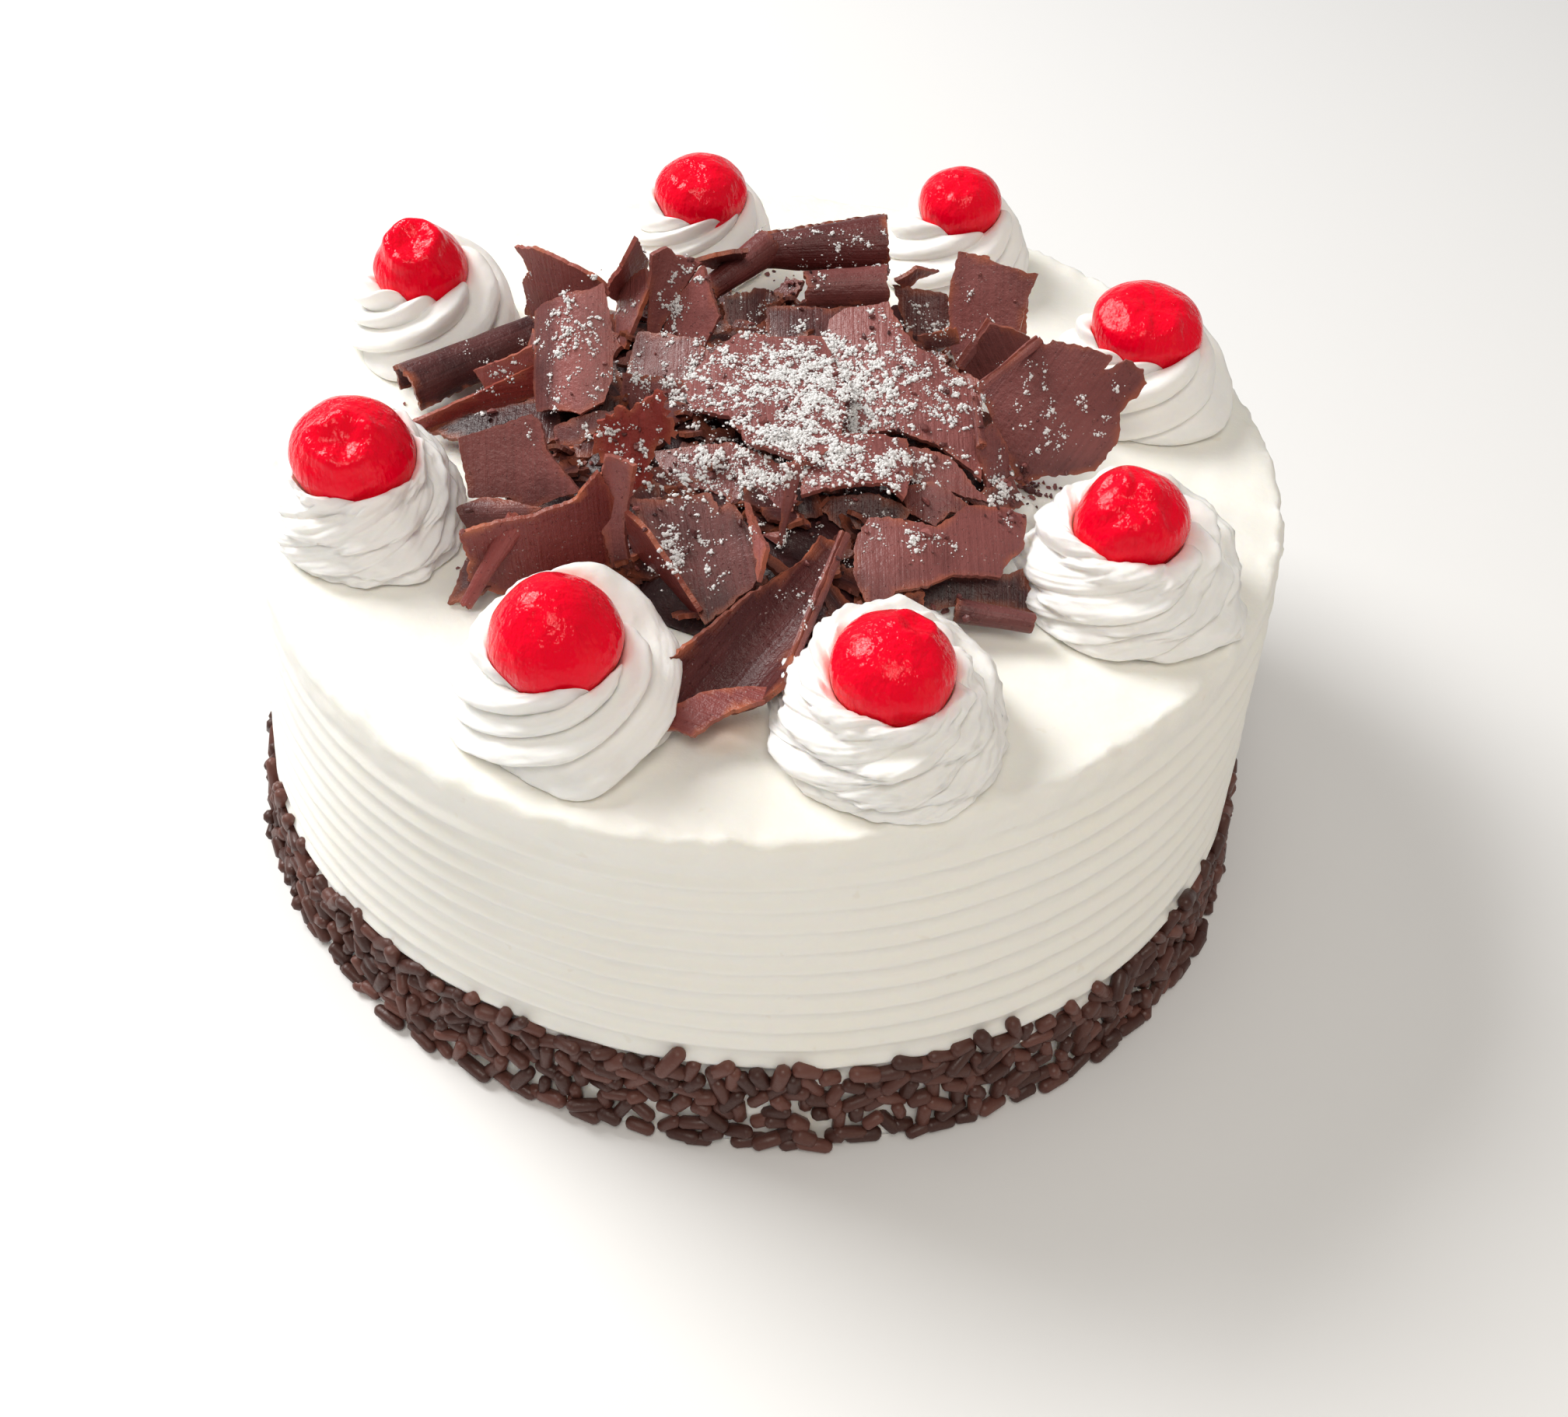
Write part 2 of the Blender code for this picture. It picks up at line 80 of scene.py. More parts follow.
class Socket:
    """One shader value; Python's operators on it add Math nodes."""

    def __init__(self, tree: "Graph", out: bpy.types.NodeSocket) -> None:
        """Keep the graph and the output that this value comes from."""
        self.tree = tree
        self.out = out

    def math(self, operation: str, *values: Number) -> "Socket":
        """Add one Math node over this value and others."""
        return self.tree.node("ShaderNodeMath", {"operation": operation}, [self, *values])

    def __add__(self, other: Number) -> "Socket":
        """Add."""
        return self.math("ADD", other)

    def __sub__(self, other: Number) -> "Socket":
        """Subtract."""
        return self.math("SUBTRACT", other)

    def __rsub__(self, other: float) -> "Socket":
        """Subtract this value from a number."""
        return self.tree.node("ShaderNodeMath", {"operation": "SUBTRACT"}, [other, self])

    def __mul__(self, other: Number) -> "Socket":
        """Multiply."""
        return self.math("MULTIPLY", other)

    __radd__ = __add__
    __rmul__ = __mul__

    def ramp(self, low: float, high: float) -> "Socket":
        """Return 0 below low, 1 above high and a smooth rise between."""
        settings = {"interpolation_type": "SMOOTHSTEP"}
        return self.tree.node("ShaderNodeMapRange", settings, [self, low, high, 0.0, 1.0])


class Graph:
    """The node tree of one material, with one method for every node."""

    def __init__(self, name: str) -> None:
        """Start a material that holds only its output.

        Args:
            name: the material's name.
        """
        self.material = bpy.data.materials.new(name)
        self.material.use_nodes = True
        self.tree = self.material.node_tree
        self.tree.nodes.clear()
        self.output = self.tree.nodes.new("ShaderNodeOutputMaterial")

    def node(
        self,
        kind: str,
        settings: Optional[dict] = None,
        values: Union[dict, Sequence, None] = None,
        out: Union[int, str] = 0,
    ) -> Socket:
        """Add one node.

        Args:
            kind: the node's type.
            settings: its properties, set before its sockets.
            values: numbers, colours or sockets by input name or in input order.
            out: which output to return.

        Returns:
            The chosen output as a Socket.
        """
        made = self.tree.nodes.new(kind)
        for key, value in (settings or {}).items():
            setattr(made, key, value)
        pairs = values.items() if isinstance(values, dict) else enumerate(values or [])
        for key, value in pairs:
            if isinstance(value, Socket):
                self.tree.links.new(value.out, made.inputs[key])
            elif value is not None:
                made.inputs[key].default_value = value
        return Socket(self, made.outputs[out])

    def point(self) -> Socket:
        """Return the surface point in metres from the part's origin."""
        return self.node("ShaderNodeTexCoord", out="Object")

    def attribute(self, name: str) -> Socket:
        """Return a number stored on the mesh's points."""
        return self.node("ShaderNodeAttribute", {"attribute_name": name}, out="Fac")

    def noise(
        self, scale: float, detail: float = 2.0, rough: float = 0.5, at: Optional[Socket] = None
    ) -> Socket:
        """Return noise around 0.5.

        Args:
            scale: cells in a metre.
            detail: octaves.
            rough: weight of the finer octaves.
            at: the point to read, or None for the surface point.

        Returns:
            The noise value.
        """
        values = {"Vector": at or self.point(), "Scale": scale, "Detail": detail, "Roughness": rough}
        return self.node("ShaderNodeTexNoise", {"noise_dimensions": "3D"}, values)

    def stretched(self, sizes: tuple[float, float, float]) -> Socket:
        """Return the surface point stretched along the axes."""
        return self.node("ShaderNodeVectorMath", {"operation": "MULTIPLY"}, [self.point(), sizes])

    def mix(self, share: Number, first: Union[Colour, Socket], second: Union[Colour, Socket]) -> Socket:
        """Mix two colours.

        Args:
            share: 0 for the first colour, 1 for the second.
            first: a colour or a colour socket.
            second: a colour or a colour socket.

        Returns:
            The mixed colour.
        """
        settings = {"data_type": "RGBA", "clamp_factor": True}
        return self.node("ShaderNodeMix", settings, {0: share, 6: first, 7: second}, out=2)

    def bump(self, height: Socket, distance: float, strength: float = 1.0) -> Socket:
        """Return a normal from a height in shares of a distance in metres."""
        values = {"Height": height, "Distance": distance, "Strength": strength}
        return self.node("ShaderNodeBump", None, values)

    def finish(self, values: dict) -> bpy.types.Material:
        """Close the material with a Principled shader that has these sockets.

        Args:
            values: numbers, colours or sockets by input name.

        Returns:
            The finished material.
        """
        shader = self.node("ShaderNodeBsdfPrincipled", None, values)
        self.tree.links.new(shader.out, self.output.inputs["Surface"])
        return self.material


@dataclass(frozen=True)
class CreamFinish:
    """Whipped cream: warm white, soft, with faint stains and a fine grain."""

    name: str = "whipped_cream"
    white: Colour = (0.945, 0.925, 0.865, 1.0)
    warm: Colour = (0.93, 0.885, 0.78, 1.0)
    pink: Colour = (0.95, 0.60, 0.55, 1.0)
    # painted glow: orange of light from the chocolate front lip falling on the cream
    painted_glow_orange: Colour = (0.95, 0.55, 0.36, 1.0)
    grain_depth: float = 0.00025

    def build(self) -> bpy.types.Material:
        """Return the material; the mesh says where juice tints it and where the painted orange glow of light
        from the chocolate lip lies.

        Returns:
            The material; the mesh says where juice tints it and where the painted orange glow of light from
            the chocolate lip lies.
        """
        g = Graph(self.name)
        blotch = g.noise(38.0, 3.0, 0.6).ramp(0.52, 0.78)
        specks = g.noise(310.0, 2.0, 0.5).ramp(0.70, 0.78)
        tone = g.mix(blotch * 0.35, self.white, self.warm)
        tone = g.mix(specks * 0.25, tone, (0.80, 0.72, 0.58, 1.0))
        tone = g.mix(g.attribute("juice"), tone, self.pink)
        # painted glow: orange light from the chocolate lip, painted where the mesh's glow attribute is set
        tone = g.mix(g.attribute("glow"), tone, self.painted_glow_orange)
        height = g.noise(900.0, 3.0, 0.6) * 0.5 + g.noise(260.0, 2.0, 0.5)
        return g.finish(
            {
                "Base Color": tone,
                "Roughness": g.noise(120.0).ramp(0.2, 0.8) * 0.15 + 0.45,
                "Subsurface Weight": 0.35,
                "Subsurface Radius": (0.0026, 0.0021, 0.0014),
                "Subsurface Scale": 1.0,
                "Specular IOR Level": 0.35,
                "Normal": g.bump(height, self.grain_depth, 0.6),
            }
        )


PIPED_CREAM = CreamFinish(
    name="piped_cream", white=(0.955, 0.945, 0.915, 1.0), warm=(0.94, 0.91, 0.85, 1.0)
)


@dataclass(frozen=True)
class CherryFinish:
    """Preserved cherry: saturated red under a wet coat."""

    name: str = "preserved_cherry"
    red: Colour = (0.96, 0.0, 0.022, 1.0)
    deep: Colour = (0.72, 0.0, 0.016, 1.0)

    def build(self) -> bpy.types.Material:
        """Return the material.

        Returns:
            The material.
        """
        g = Graph(self.name)
        cloud = g.noise(170.0, 3.0, 0.6).ramp(0.42, 0.75)
        fibres = g.node(
            "ShaderNodeTexNoise",
            {"noise_dimensions": "3D"},
            {"Vector": g.stretched((1.0, 1.0, 0.22)), "Scale": 900.0, "Detail": 2.0},
        )
        return g.finish(
            {
                "Base Color": g.mix(cloud * 0.55, self.red, self.deep),
                "Roughness": cloud * 0.10 + 0.13,
                "Subsurface Weight": 0.25,
                "Subsurface Radius": (0.006, 0.0006, 0.0006),
                "Subsurface Scale": 1.0,
                "Specular IOR Level": 0.14,
                "Coat Weight": 0.12,
                "Coat Roughness": 0.04,
                "Normal": g.bump(fibres * 0.7 + g.noise(260.0, 3.0, 0.6), 0.0010, 0.6),
            }
        )


@dataclass(frozen=True)
class ChocolateFinish:
    """Scraped chocolate: brown with a dull sheen, fine scrape lines, and a painted red-orange glow where
    light shines through thin edges and backlit shards.
    """

    name: str = "scraped_chocolate"
    brown: Colour = (0.345, 0.110, 0.102, 1.0)
    dark: Colour = (0.030, 0.008, 0.009, 1.0)
    # red: painted glow of light shining through thin, backlit chocolate
    red: Colour = (0.30, 0.030, 0.022, 1.0)
    # painted glow: orange of light shining through the thin edges
    painted_edge_glow: Colour = (0.42, 0.115, 0.055, 1.0)
    dust: Colour = (0.62, 0.47, 0.44, 1.0)

    def build(self) -> bpy.types.Material:
        """Return the material; the mesh gives each shard's tone, which includes painted shade, and where the
        painted red glow of light through thin edges and backlit sheets lies.

        Returns:
            The material; the mesh gives each shard's tone, painted shade and painted glow.
        """
        g = Graph(self.name)
        lines = g.node(
            "ShaderNodeTexNoise",
            {"noise_dimensions": "3D"},
            {"Vector": g.node("ShaderNodeUVMap", {"uv_map": "scrape"}), "Scale": 1.0, "Detail": 3.0},
        )
        cloud = g.noise(90.0, 3.0, 0.6)
        # tone carries each shard's own tone and painted shade from the mesh: darker low in the heap, on the
        # turned-away side of some shards, on the core and on the inner scraps
        share = g.attribute("tone") + (lines - 0.5) * 0.35 - cloud.ramp(0.40, 0.80) * 0.25
        tone = g.mix(share, self.dark, self.brown)
        # painted glow: red of light shining through backlit shards
        tone = g.mix(g.attribute("backlit_glow"), tone, self.red)
        # painted glow: orange of light shining through the thin edges
        tone = g.mix(g.attribute("thin"), tone, self.painted_edge_glow)
        pits = g.noise(1500.0, 2.0, 0.6).ramp(0.66, 0.74)
        specks = g.noise(2100.0, 1.0, 0.5).ramp(0.70, 0.76) * g.noise(60.0, 2.0).ramp(0.40, 0.65)
        tone = g.mix(specks * 0.55, tone, self.dust)
        height = lines * 0.8 + g.noise(700.0, 3.0, 0.7) * 1.1 - pits * 0.9 + specks * 0.5
        return g.finish(
            {
                "Base Color": tone,
                "Roughness": lines.ramp(0.2, 0.8) * 0.16 + 0.32,
                "Specular IOR Level": 0.38,
                "Normal": g.bump(height, 0.00032, 0.8),
            }
        )


@dataclass(frozen=True)
class SprinkleFinish:
    """Chocolate sprinkle: dark brown, with a waxy shine."""

    name: str = "sprinkle_chocolate"
    dark: Colour = (0.056, 0.020, 0.015, 1.0)
    light: Colour = (0.150, 0.056, 0.042, 1.0)

    def build(self) -> bpy.types.Material:
        """Return the material; each rod has a tone of its own.

        Returns:
            The material; each rod has a tone of its own.
        """
        g = Graph(self.name)
        return g.finish(
            {
                "Base Color": g.mix(g.attribute("tone"), self.dark, self.light),
                "Roughness": g.noise(500.0, 2.0).ramp(0.3, 0.7) * 0.15 + 0.36,
                "Specular IOR Level": 0.4,
                "Normal": g.bump(g.noise(1100.0, 3.0), 0.0002, 0.6),
            }
        )


@dataclass(frozen=True)
class SugarFinish:
    """Icing sugar: bright matte white clumps."""

    name: str = "icing_sugar"
    white: Colour = (0.98, 0.98, 0.98, 1.0)
    shade: Colour = (0.93, 0.92, 0.92, 1.0)

    def build(self) -> bpy.types.Material:
        """Return the material.

        Returns:
            The material.
        """
        g = Graph(self.name)
        grain = g.noise(2600.0, 3.0, 0.7)
        return g.finish(
            {
                "Base Color": g.mix(grain.ramp(0.35, 0.7), self.shade, self.white),
                "Roughness": grain * 0.1 + 0.85,
                "Specular IOR Level": 0.2,
                "Subsurface Weight": 0.2,
                "Subsurface Radius": (0.001, 0.001, 0.001),
                "Subsurface Scale": 1.0,
                "Normal": g.bump(grain, 0.0003, 0.8),
            }
        )


def keep_mesh(name: str, mesh: bpy.types.Mesh, finish: bpy.types.Material) -> bpy.types.Object:
    """Make a mesh in the part's frame a piece that rides on the cake.

    Args:
        name: the piece's name.
        mesh: its mesh.
        finish: its material.

    Returns:
        The piece.
    """
    mesh.materials.append(finish)
    made = bpy.data.objects.new(name, mesh)
    bpy.context.scene.collection.objects.link(made)
    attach(made, "root")
    log.info("%6.1f s  %s: %d faces", time.perf_counter() - STARTED, name, len(mesh.polygons))
    return made


def keep_piece(name: str, bm: bmesh.types.BMesh, finish: bpy.types.Material) -> bpy.types.Object:
    """Turn a finished bmesh, which is freed, into a smooth piece; the rest is as in keep_mesh.

    Args:
        name: the piece's name.
        bm: its finished mesh, which is freed.
        finish: its material.

    Returns:
        The piece.
    """
    mesh = bpy.data.meshes.new(name)
    bm.to_mesh(mesh)
    bm.free()
    mesh.shade_smooth()
    return keep_mesh(name, mesh, finish)


@dataclass
class Strewn:
    """Many copies of one small shape, joined into one mesh."""

    shape: bmesh.types.BMesh
    places: list[Matrix] = field(default_factory=list)
    tones: list[float] = field(default_factory=list)

    def add(self, place: Matrix, tone: float = 1.0) -> None:
        """Add one copy at a place in mm, as light as its tone."""
        self.places.append(place)
        self.tones.append(tone)

    def finish(self, name: str, finish: bpy.types.Material, slot: Slot) -> bpy.types.Object:
        """Join the copies and return the piece; its edges stay sharp until it is shaded smooth.

        Args:
            name: the piece's name.
            finish: its material.
            slot: the record's slot; not used.

        Returns:
            The piece, whose edges stay sharp until it is shaded smooth.
        """
        self.shape.verts.index_update()
        base = np.array([(*vert.co, 1.0) for vert in self.shape.verts])
        faces = [[vert.index for vert in face.verts] for face in self.shape.faces]
        self.shape.free()
        points = np.concatenate([base @ np.array(place).T[:, :3] for place in self.places]) * MM
        joined = [[i + len(base) * k for i in face] for k in range(len(self.places)) for face in faces]
        mesh = bpy.data.meshes.new(name)
        mesh.from_pydata(points.tolist(), [], joined)
        tone = mesh.attributes.new("tone", "FLOAT", "POINT")
        tone.data.foreach_set("value", np.repeat(self.tones, len(base)).astype(np.float32))
        return keep_mesh(name, mesh, finish)


def side_radius(height: float) -> float:
    """Return the cake's mean radius in mm at a height in mm, as in the part's source.

    Args:
        height: the height in mm above the base.

    Returns:
        The mean radius there in mm.
    """
    share = max(0.0, (height - FOOT_BAND_TOP) / (CAKE_HEIGHT - FOOT_BAND_TOP))
    flare = FOOT_FLARE * max(0.0, 1.0 - height / FOOT_FLARE_TOP)
    return FOOT_RADIUS + (TOP_RADIUS - FOOT_RADIUS) * share + flare


def out_of_round(angle: float, height: float) -> float:
    """Return how much wider than round the cake is at an angle and a height in mm.

    Args:
        angle: the angle round the cake in radians.
        height: the height in mm above the base.

    Returns:
        The factor on the mean radius.
    """
    share = min(1.0, max(0.0, (height - FOOT_BAND_TOP) / (CAKE_HEIGHT - FOOT_BAND_TOP)))
    waves = (math.cos(2 * angle), math.sin(2 * angle), math.cos(3 * angle), math.sin(3 * angle))
    rim = sum(a * b for a, b in zip(RIM_WOBBLE, waves))
    foot = sum(a * b for a, b in zip(FOOT_WOBBLE, waves))
    return 1.0 + foot + (rim - foot) * share


def smooth_step(value: float, low: float, high: float) -> float:
    """Return 0 at low, 1 at high and a smooth rise between."""
    share = min(1.0, max(0.0, (value - low) / (high - low)))
    return share * share * (3.0 - 2.0 * share)


def ripple(x: float, y: float, z: float, scale: float) -> float:
    """Return smooth noise from -1 to 1 at a point in mm, with cells of about scale mm."""
    return noise.noise(Vector((x, y, z)) / scale)


@dataclass(frozen=True)
class Rough:
    """Smooth unevenness: how deep it is, in mm or as a share, and how wide its cells are in mm."""

    depth: float
    cell: float

    def at(self, x: float, y: float, z: float) -> float:
        """Return the unevenness at a point in mm."""
        return self.depth * ripple(x, y, z, self.cell)


@dataclass
class CreamCoat:
    """The cream on the cake: a flat top, a torn rim and a combed side."""

    turn_steps: int = 380
    top_rings: int = 84
    side_rings: int = 140
    rim_rounding: float = 1.6
    comb_top: float = 74.0
    comb_bottom: float = 13.0
    comb_pitch: float = 5.3
    comb_depth: float = 1.35
    crest_share: float = 2.2
    comb_drift: Rough = Rough(1.5, 55.0)
    comb_shake: Rough = Rough(0.35, 14.0)
    comb_wear: Rough = Rough(0.45, 17.0)
    comb_smear: Rough = Rough(5.0, 50.0)
    least_smear: float = 4.0
    side_grain: Rough = Rough(0.16, 3.0)
    side_swell: Rough = Rough(0.3, 25.0)
    spreader_drag: Rough = Rough(0.40, 12.0)
    top_grain: Rough = Rough(0.16, 4.0)
    rim_tears: Rough = Rough(1.3, 2.4)
    rim_waves: Rough = Rough(0.5, 7.0)
    rim_lumps: Rough = Rough(0.5, 4.5)
    rim_flecks: Rough = Rough(0.4, 1.9)
    # glow_spot and glow_reach place the painted orange glow of light from the chocolate lip on the top
    glow_spot: tuple[float, float] = (-6.5, -70.0)
    glow_reach: float = 8.0
    rough_spot: tuple[float, float] = (41.5, -20.0)
    rough_reach: float = 9.0
    rough_height: float = 2.2
    rough_peaks: Rough = Rough(4.5, 3.4)

    def profile(self) -> list[tuple[float, float]]:
        """Return the turned profile in mm, from the middle of the top down to the base.

        Returns:
            Radius and height in mm, from the middle of the top down to the base.
        """
        flat = TOP_RADIUS - self.rim_rounding
        points = [(flat * (i / self.top_rings) ** 0.8, CAKE_HEIGHT) for i in range(self.top_rings + 1)]
        for i in range(1, 5):
            turn = math.radians(90.0 * i / 5)
            sink = self.rim_rounding * (1.0 - math.cos(turn))
            points.append((flat + self.rim_rounding * math.sin(turn), CAKE_HEIGHT - sink))
        high = CAKE_HEIGHT - self.rim_rounding
        for i in range(self.side_rings + 1):
            height = high * (1.0 - i / self.side_rings)
            points.append((side_radius(height), height))
        points.append((0.0, 0.0))
        return points

    def comb(self, angle: float, height: float) -> float:
        """Return how far the side stands out in mm because of the comb's ridges and smears.

        Args:
            angle: the angle round the cake in radians.
            height: the height in mm above the base.

        Returns:
            How far the side stands out there in mm.
        """
        x, y = 60.0 * math.cos(angle), 60.0 * math.sin(angle)
        dip = self.comb_drift.at(x, y, 3.0) + self.comb_shake.at(x, y, height)
        wave = 0.5 + 0.5 * math.cos(2 * math.pi * (height + dip) / self.comb_pitch)
        smear = self.least_smear + max(0.0, self.comb_smear.at(x, y, 40.0))
        under_rim = 1.0 - smooth_step(height, self.comb_top - smear, self.comb_top)
        fade = under_rim * smooth_step(height, self.comb_bottom - 3.0, self.comb_bottom)
        worn = 0.75 + self.comb_wear.at(x, y, 0.7 * height)
        ridge = (wave**self.crest_share - 0.5) * self.comb_depth * worn * fade
        return ridge + self.side_grain.at(x, y, height) + self.side_swell.at(x, y, height)

    def top(self, x: float, y: float) -> float:
        """Return how far the top stands up in mm: the marks of the spreader and the torn rim.

        Args:
            x: the place along X in mm.
            y: the place along Y in mm.

        Returns:
            How far the cream stands up there in mm.
        """
        radius = math.hypot(x, y)
        drag = self.spreader_drag.at(x, 0.35 * y, 0.0) + self.top_grain.at(x, y, 5.0)
        edge = smooth_step(radius, TOP_RADIUS - 5.5, TOP_RADIUS - 1.0)
        torn = max(0.0, self.rim_tears.at(x, y, 9.0)) + self.rim_waves.at(x, y, 2.0)
        near = math.dist((x, y), self.rough_spot) / self.rough_reach
        peaks = max(0.0, 1.0 - near * near) * (self.rough_height + abs(self.rough_peaks.at(x, y, 1.0)))
        return drag + edge * torn + peaks

    def build(self, finish: bpy.types.Material) -> bpy.types.Object:
        """Spin the profile, comb its side and return the piece.

        Args:
            finish: the cream's material.

        Returns:
            The piece.
        """
        bm = bmesh.new()
        outline = self.profile()
        verts = [bm.verts.new((r * MM, 0.0, z * MM)) for r, z in outline]
        for a, b in zip(verts, verts[1:]):
            bm.edges.new((a, b))
        bmesh.ops.spin(
            bm,
            geom=bm.verts[:] + bm.edges[:],
            cent=(0, 0, 0),
            axis=(0, 0, 1),
            angle=math.tau,
            steps=self.turn_steps,
            use_merge=True,
        )
        bmesh.ops.remove_doubles(bm, verts=bm.verts, dist=0.00001)
        bmesh.ops.recalc_face_normals(bm, faces=bm.faces)
        glow = bm.verts.layers.float.new("glow")
        bm.verts.layers.float.new("juice")
        for vert in bm.verts:
            self.shape(vert)
            # painted glow: orange light from the chocolate lip, painted on the top round glow_spot
            reach = math.dist((vert.co.x / MM, vert.co.y / MM), self.glow_spot) / self.glow_reach
            vert[glow] = 0.45 * max(0.0, 1.0 - reach * reach) * (vert.co.z > 0.9 * CAKE_HEIGHT * MM)
        piece = keep_piece("cream_coat", bm, finish)
        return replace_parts(piece, "cream_cake")

    def shape(self, vert: bmesh.types.BMVert) -> None:
        """Move one point of the round coat to its place on the real, uneven one.

        Args:
            vert: the point, which is moved.
        """
        x, y, z = (value / MM for value in vert.co)
        radius, angle = math.hypot(x, y), math.atan2(y, x)
        if z < 0.5 or radius < 0.01:
            stretch = out_of_round(angle, z)
            vert.co = Vector((x * stretch, y * stretch, z)) * MM
            return
        rise, out = 0.0, 0.0
        if z > CAKE_HEIGHT - self.rim_rounding:
            rise = self.top(x, y)
        if radius > TOP_RADIUS - self.rim_rounding:
            out = self.comb(angle, z)
            near_rim = smooth_step(z, CAKE_HEIGHT - 14.0, CAKE_HEIGHT - 2.0)
            out += near_rim * (self.rim_lumps.at(x, y, 1.4 * z) + max(0.0, self.rim_flecks.at(x, y, z)))
        stretch = out_of_round(angle, z) * (1.0 + out / radius)
        vert.co = Vector((x * stretch, y * stretch, z + rise)) * MM


@dataclass
class Sprinkles:
    """Chocolate sprinkles pressed on the foot of the cake and piled up where it stands."""

    count: int = 1380
    radius: tuple[float, float] = (1.15, 1.5)
    length: tuple[float, float] = (3.8, 7.6)
    usual: tuple[float, float] = (6.0, 1.3)
    band: float = 21.5
    apart: float = 2.55
    crest_wave: Rough = Rough(1.8, 16.0)
    seed: int = 11

    def rod(self) -> bmesh.types.BMesh:
        """Return one rounded rod of the usual length and radius along X, in mm.

        Returns:
            The rod along X, in mm.
        """
        length, radius = self.usual
        bm = bmesh.new()
        bmesh.ops.create_uvsphere(bm, u_segments=8, v_segments=7, radius=1.0)
        for vert in bm.verts:
            flat = Vector((vert.co.x, vert.co.y)) * radius * 1.04
            cap = vert.co.z * radius + math.copysign(length / 2 - radius, vert.co.z)
            vert.co = Vector((cap, flat.x, flat.y))
        return bm

    def build(self, finish: bpy.types.Material) -> bpy.types.Object:
        """Lay the rods by a seeded rule that keeps their middles apart, and return the piece.

        Args:
            finish: the sprinkles' material.

        Returns:
            The piece.
        """
        draw = random.Random(self.seed)
        rods = Strewn(self.rod())
        taken: list[Vector] = []
        for _ in range(self.count * 4):
            angle = draw.uniform(-math.pi, math.pi)
            share = draw.random()
            crest = self.band + self.crest_wave.at(90 * math.cos(angle), 90 * math.sin(angle), 4.0)
            height = 1.45 + (crest - 3.0) * share**1.1 + 3.5 * draw.random() ** 14
            length = draw.uniform(*self.length)
            radius = draw.uniform(*self.radius)
            proud = radius * draw.uniform(0.2, 0.95) + 1.5 * draw.random() * (1.0 - share) ** 1.5
            reach = side_radius(height) * out_of_round(angle, height) + proud
            spot = Vector((reach * math.cos(angle), reach * math.sin(angle), height))
            if any((spot - other).length < self.apart for other in taken):
                continue
            taken.append(spot)
            headroom = max(0.0, height - radius - 0.2)
            steepest = math.asin(min(1.0, 2 * headroom / length))
            lean = min(steepest, math.radians(draw.uniform(0.0, 90.0))) * draw.choice((-1.0, 1.0))
            swing = math.radians(draw.gauss(0.0, 14.0))
            longer, thicker = length / self.usual[0], radius / self.usual[1]
            place = (
                Matrix.Translation(spot)
                @ Matrix.Rotation(angle + math.pi / 2 + swing, 4, "Z")
                @ Matrix.Rotation(lean, 4, "Y")
                @ Matrix.Diagonal((longer, thicker, thicker, 1.0))
            )
            rods.add(place, draw.random() ** 1.5)
            if len(taken) >= self.count:
                break
        piece = rods.finish("sprinkles", finish, Slot.CHOCOLATE)
        piece.data.shade_smooth()
        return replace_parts(piece, "cream_cake")


@dataclass(frozen=True)
class Pit:
    """A dent of a cherry: where it faces, how wide it is and how deep, as a share of the radius."""

    heading: float
    rise: float
    width: float
    depth: float
    rim: float = 0.3
    folds: float = 0.0


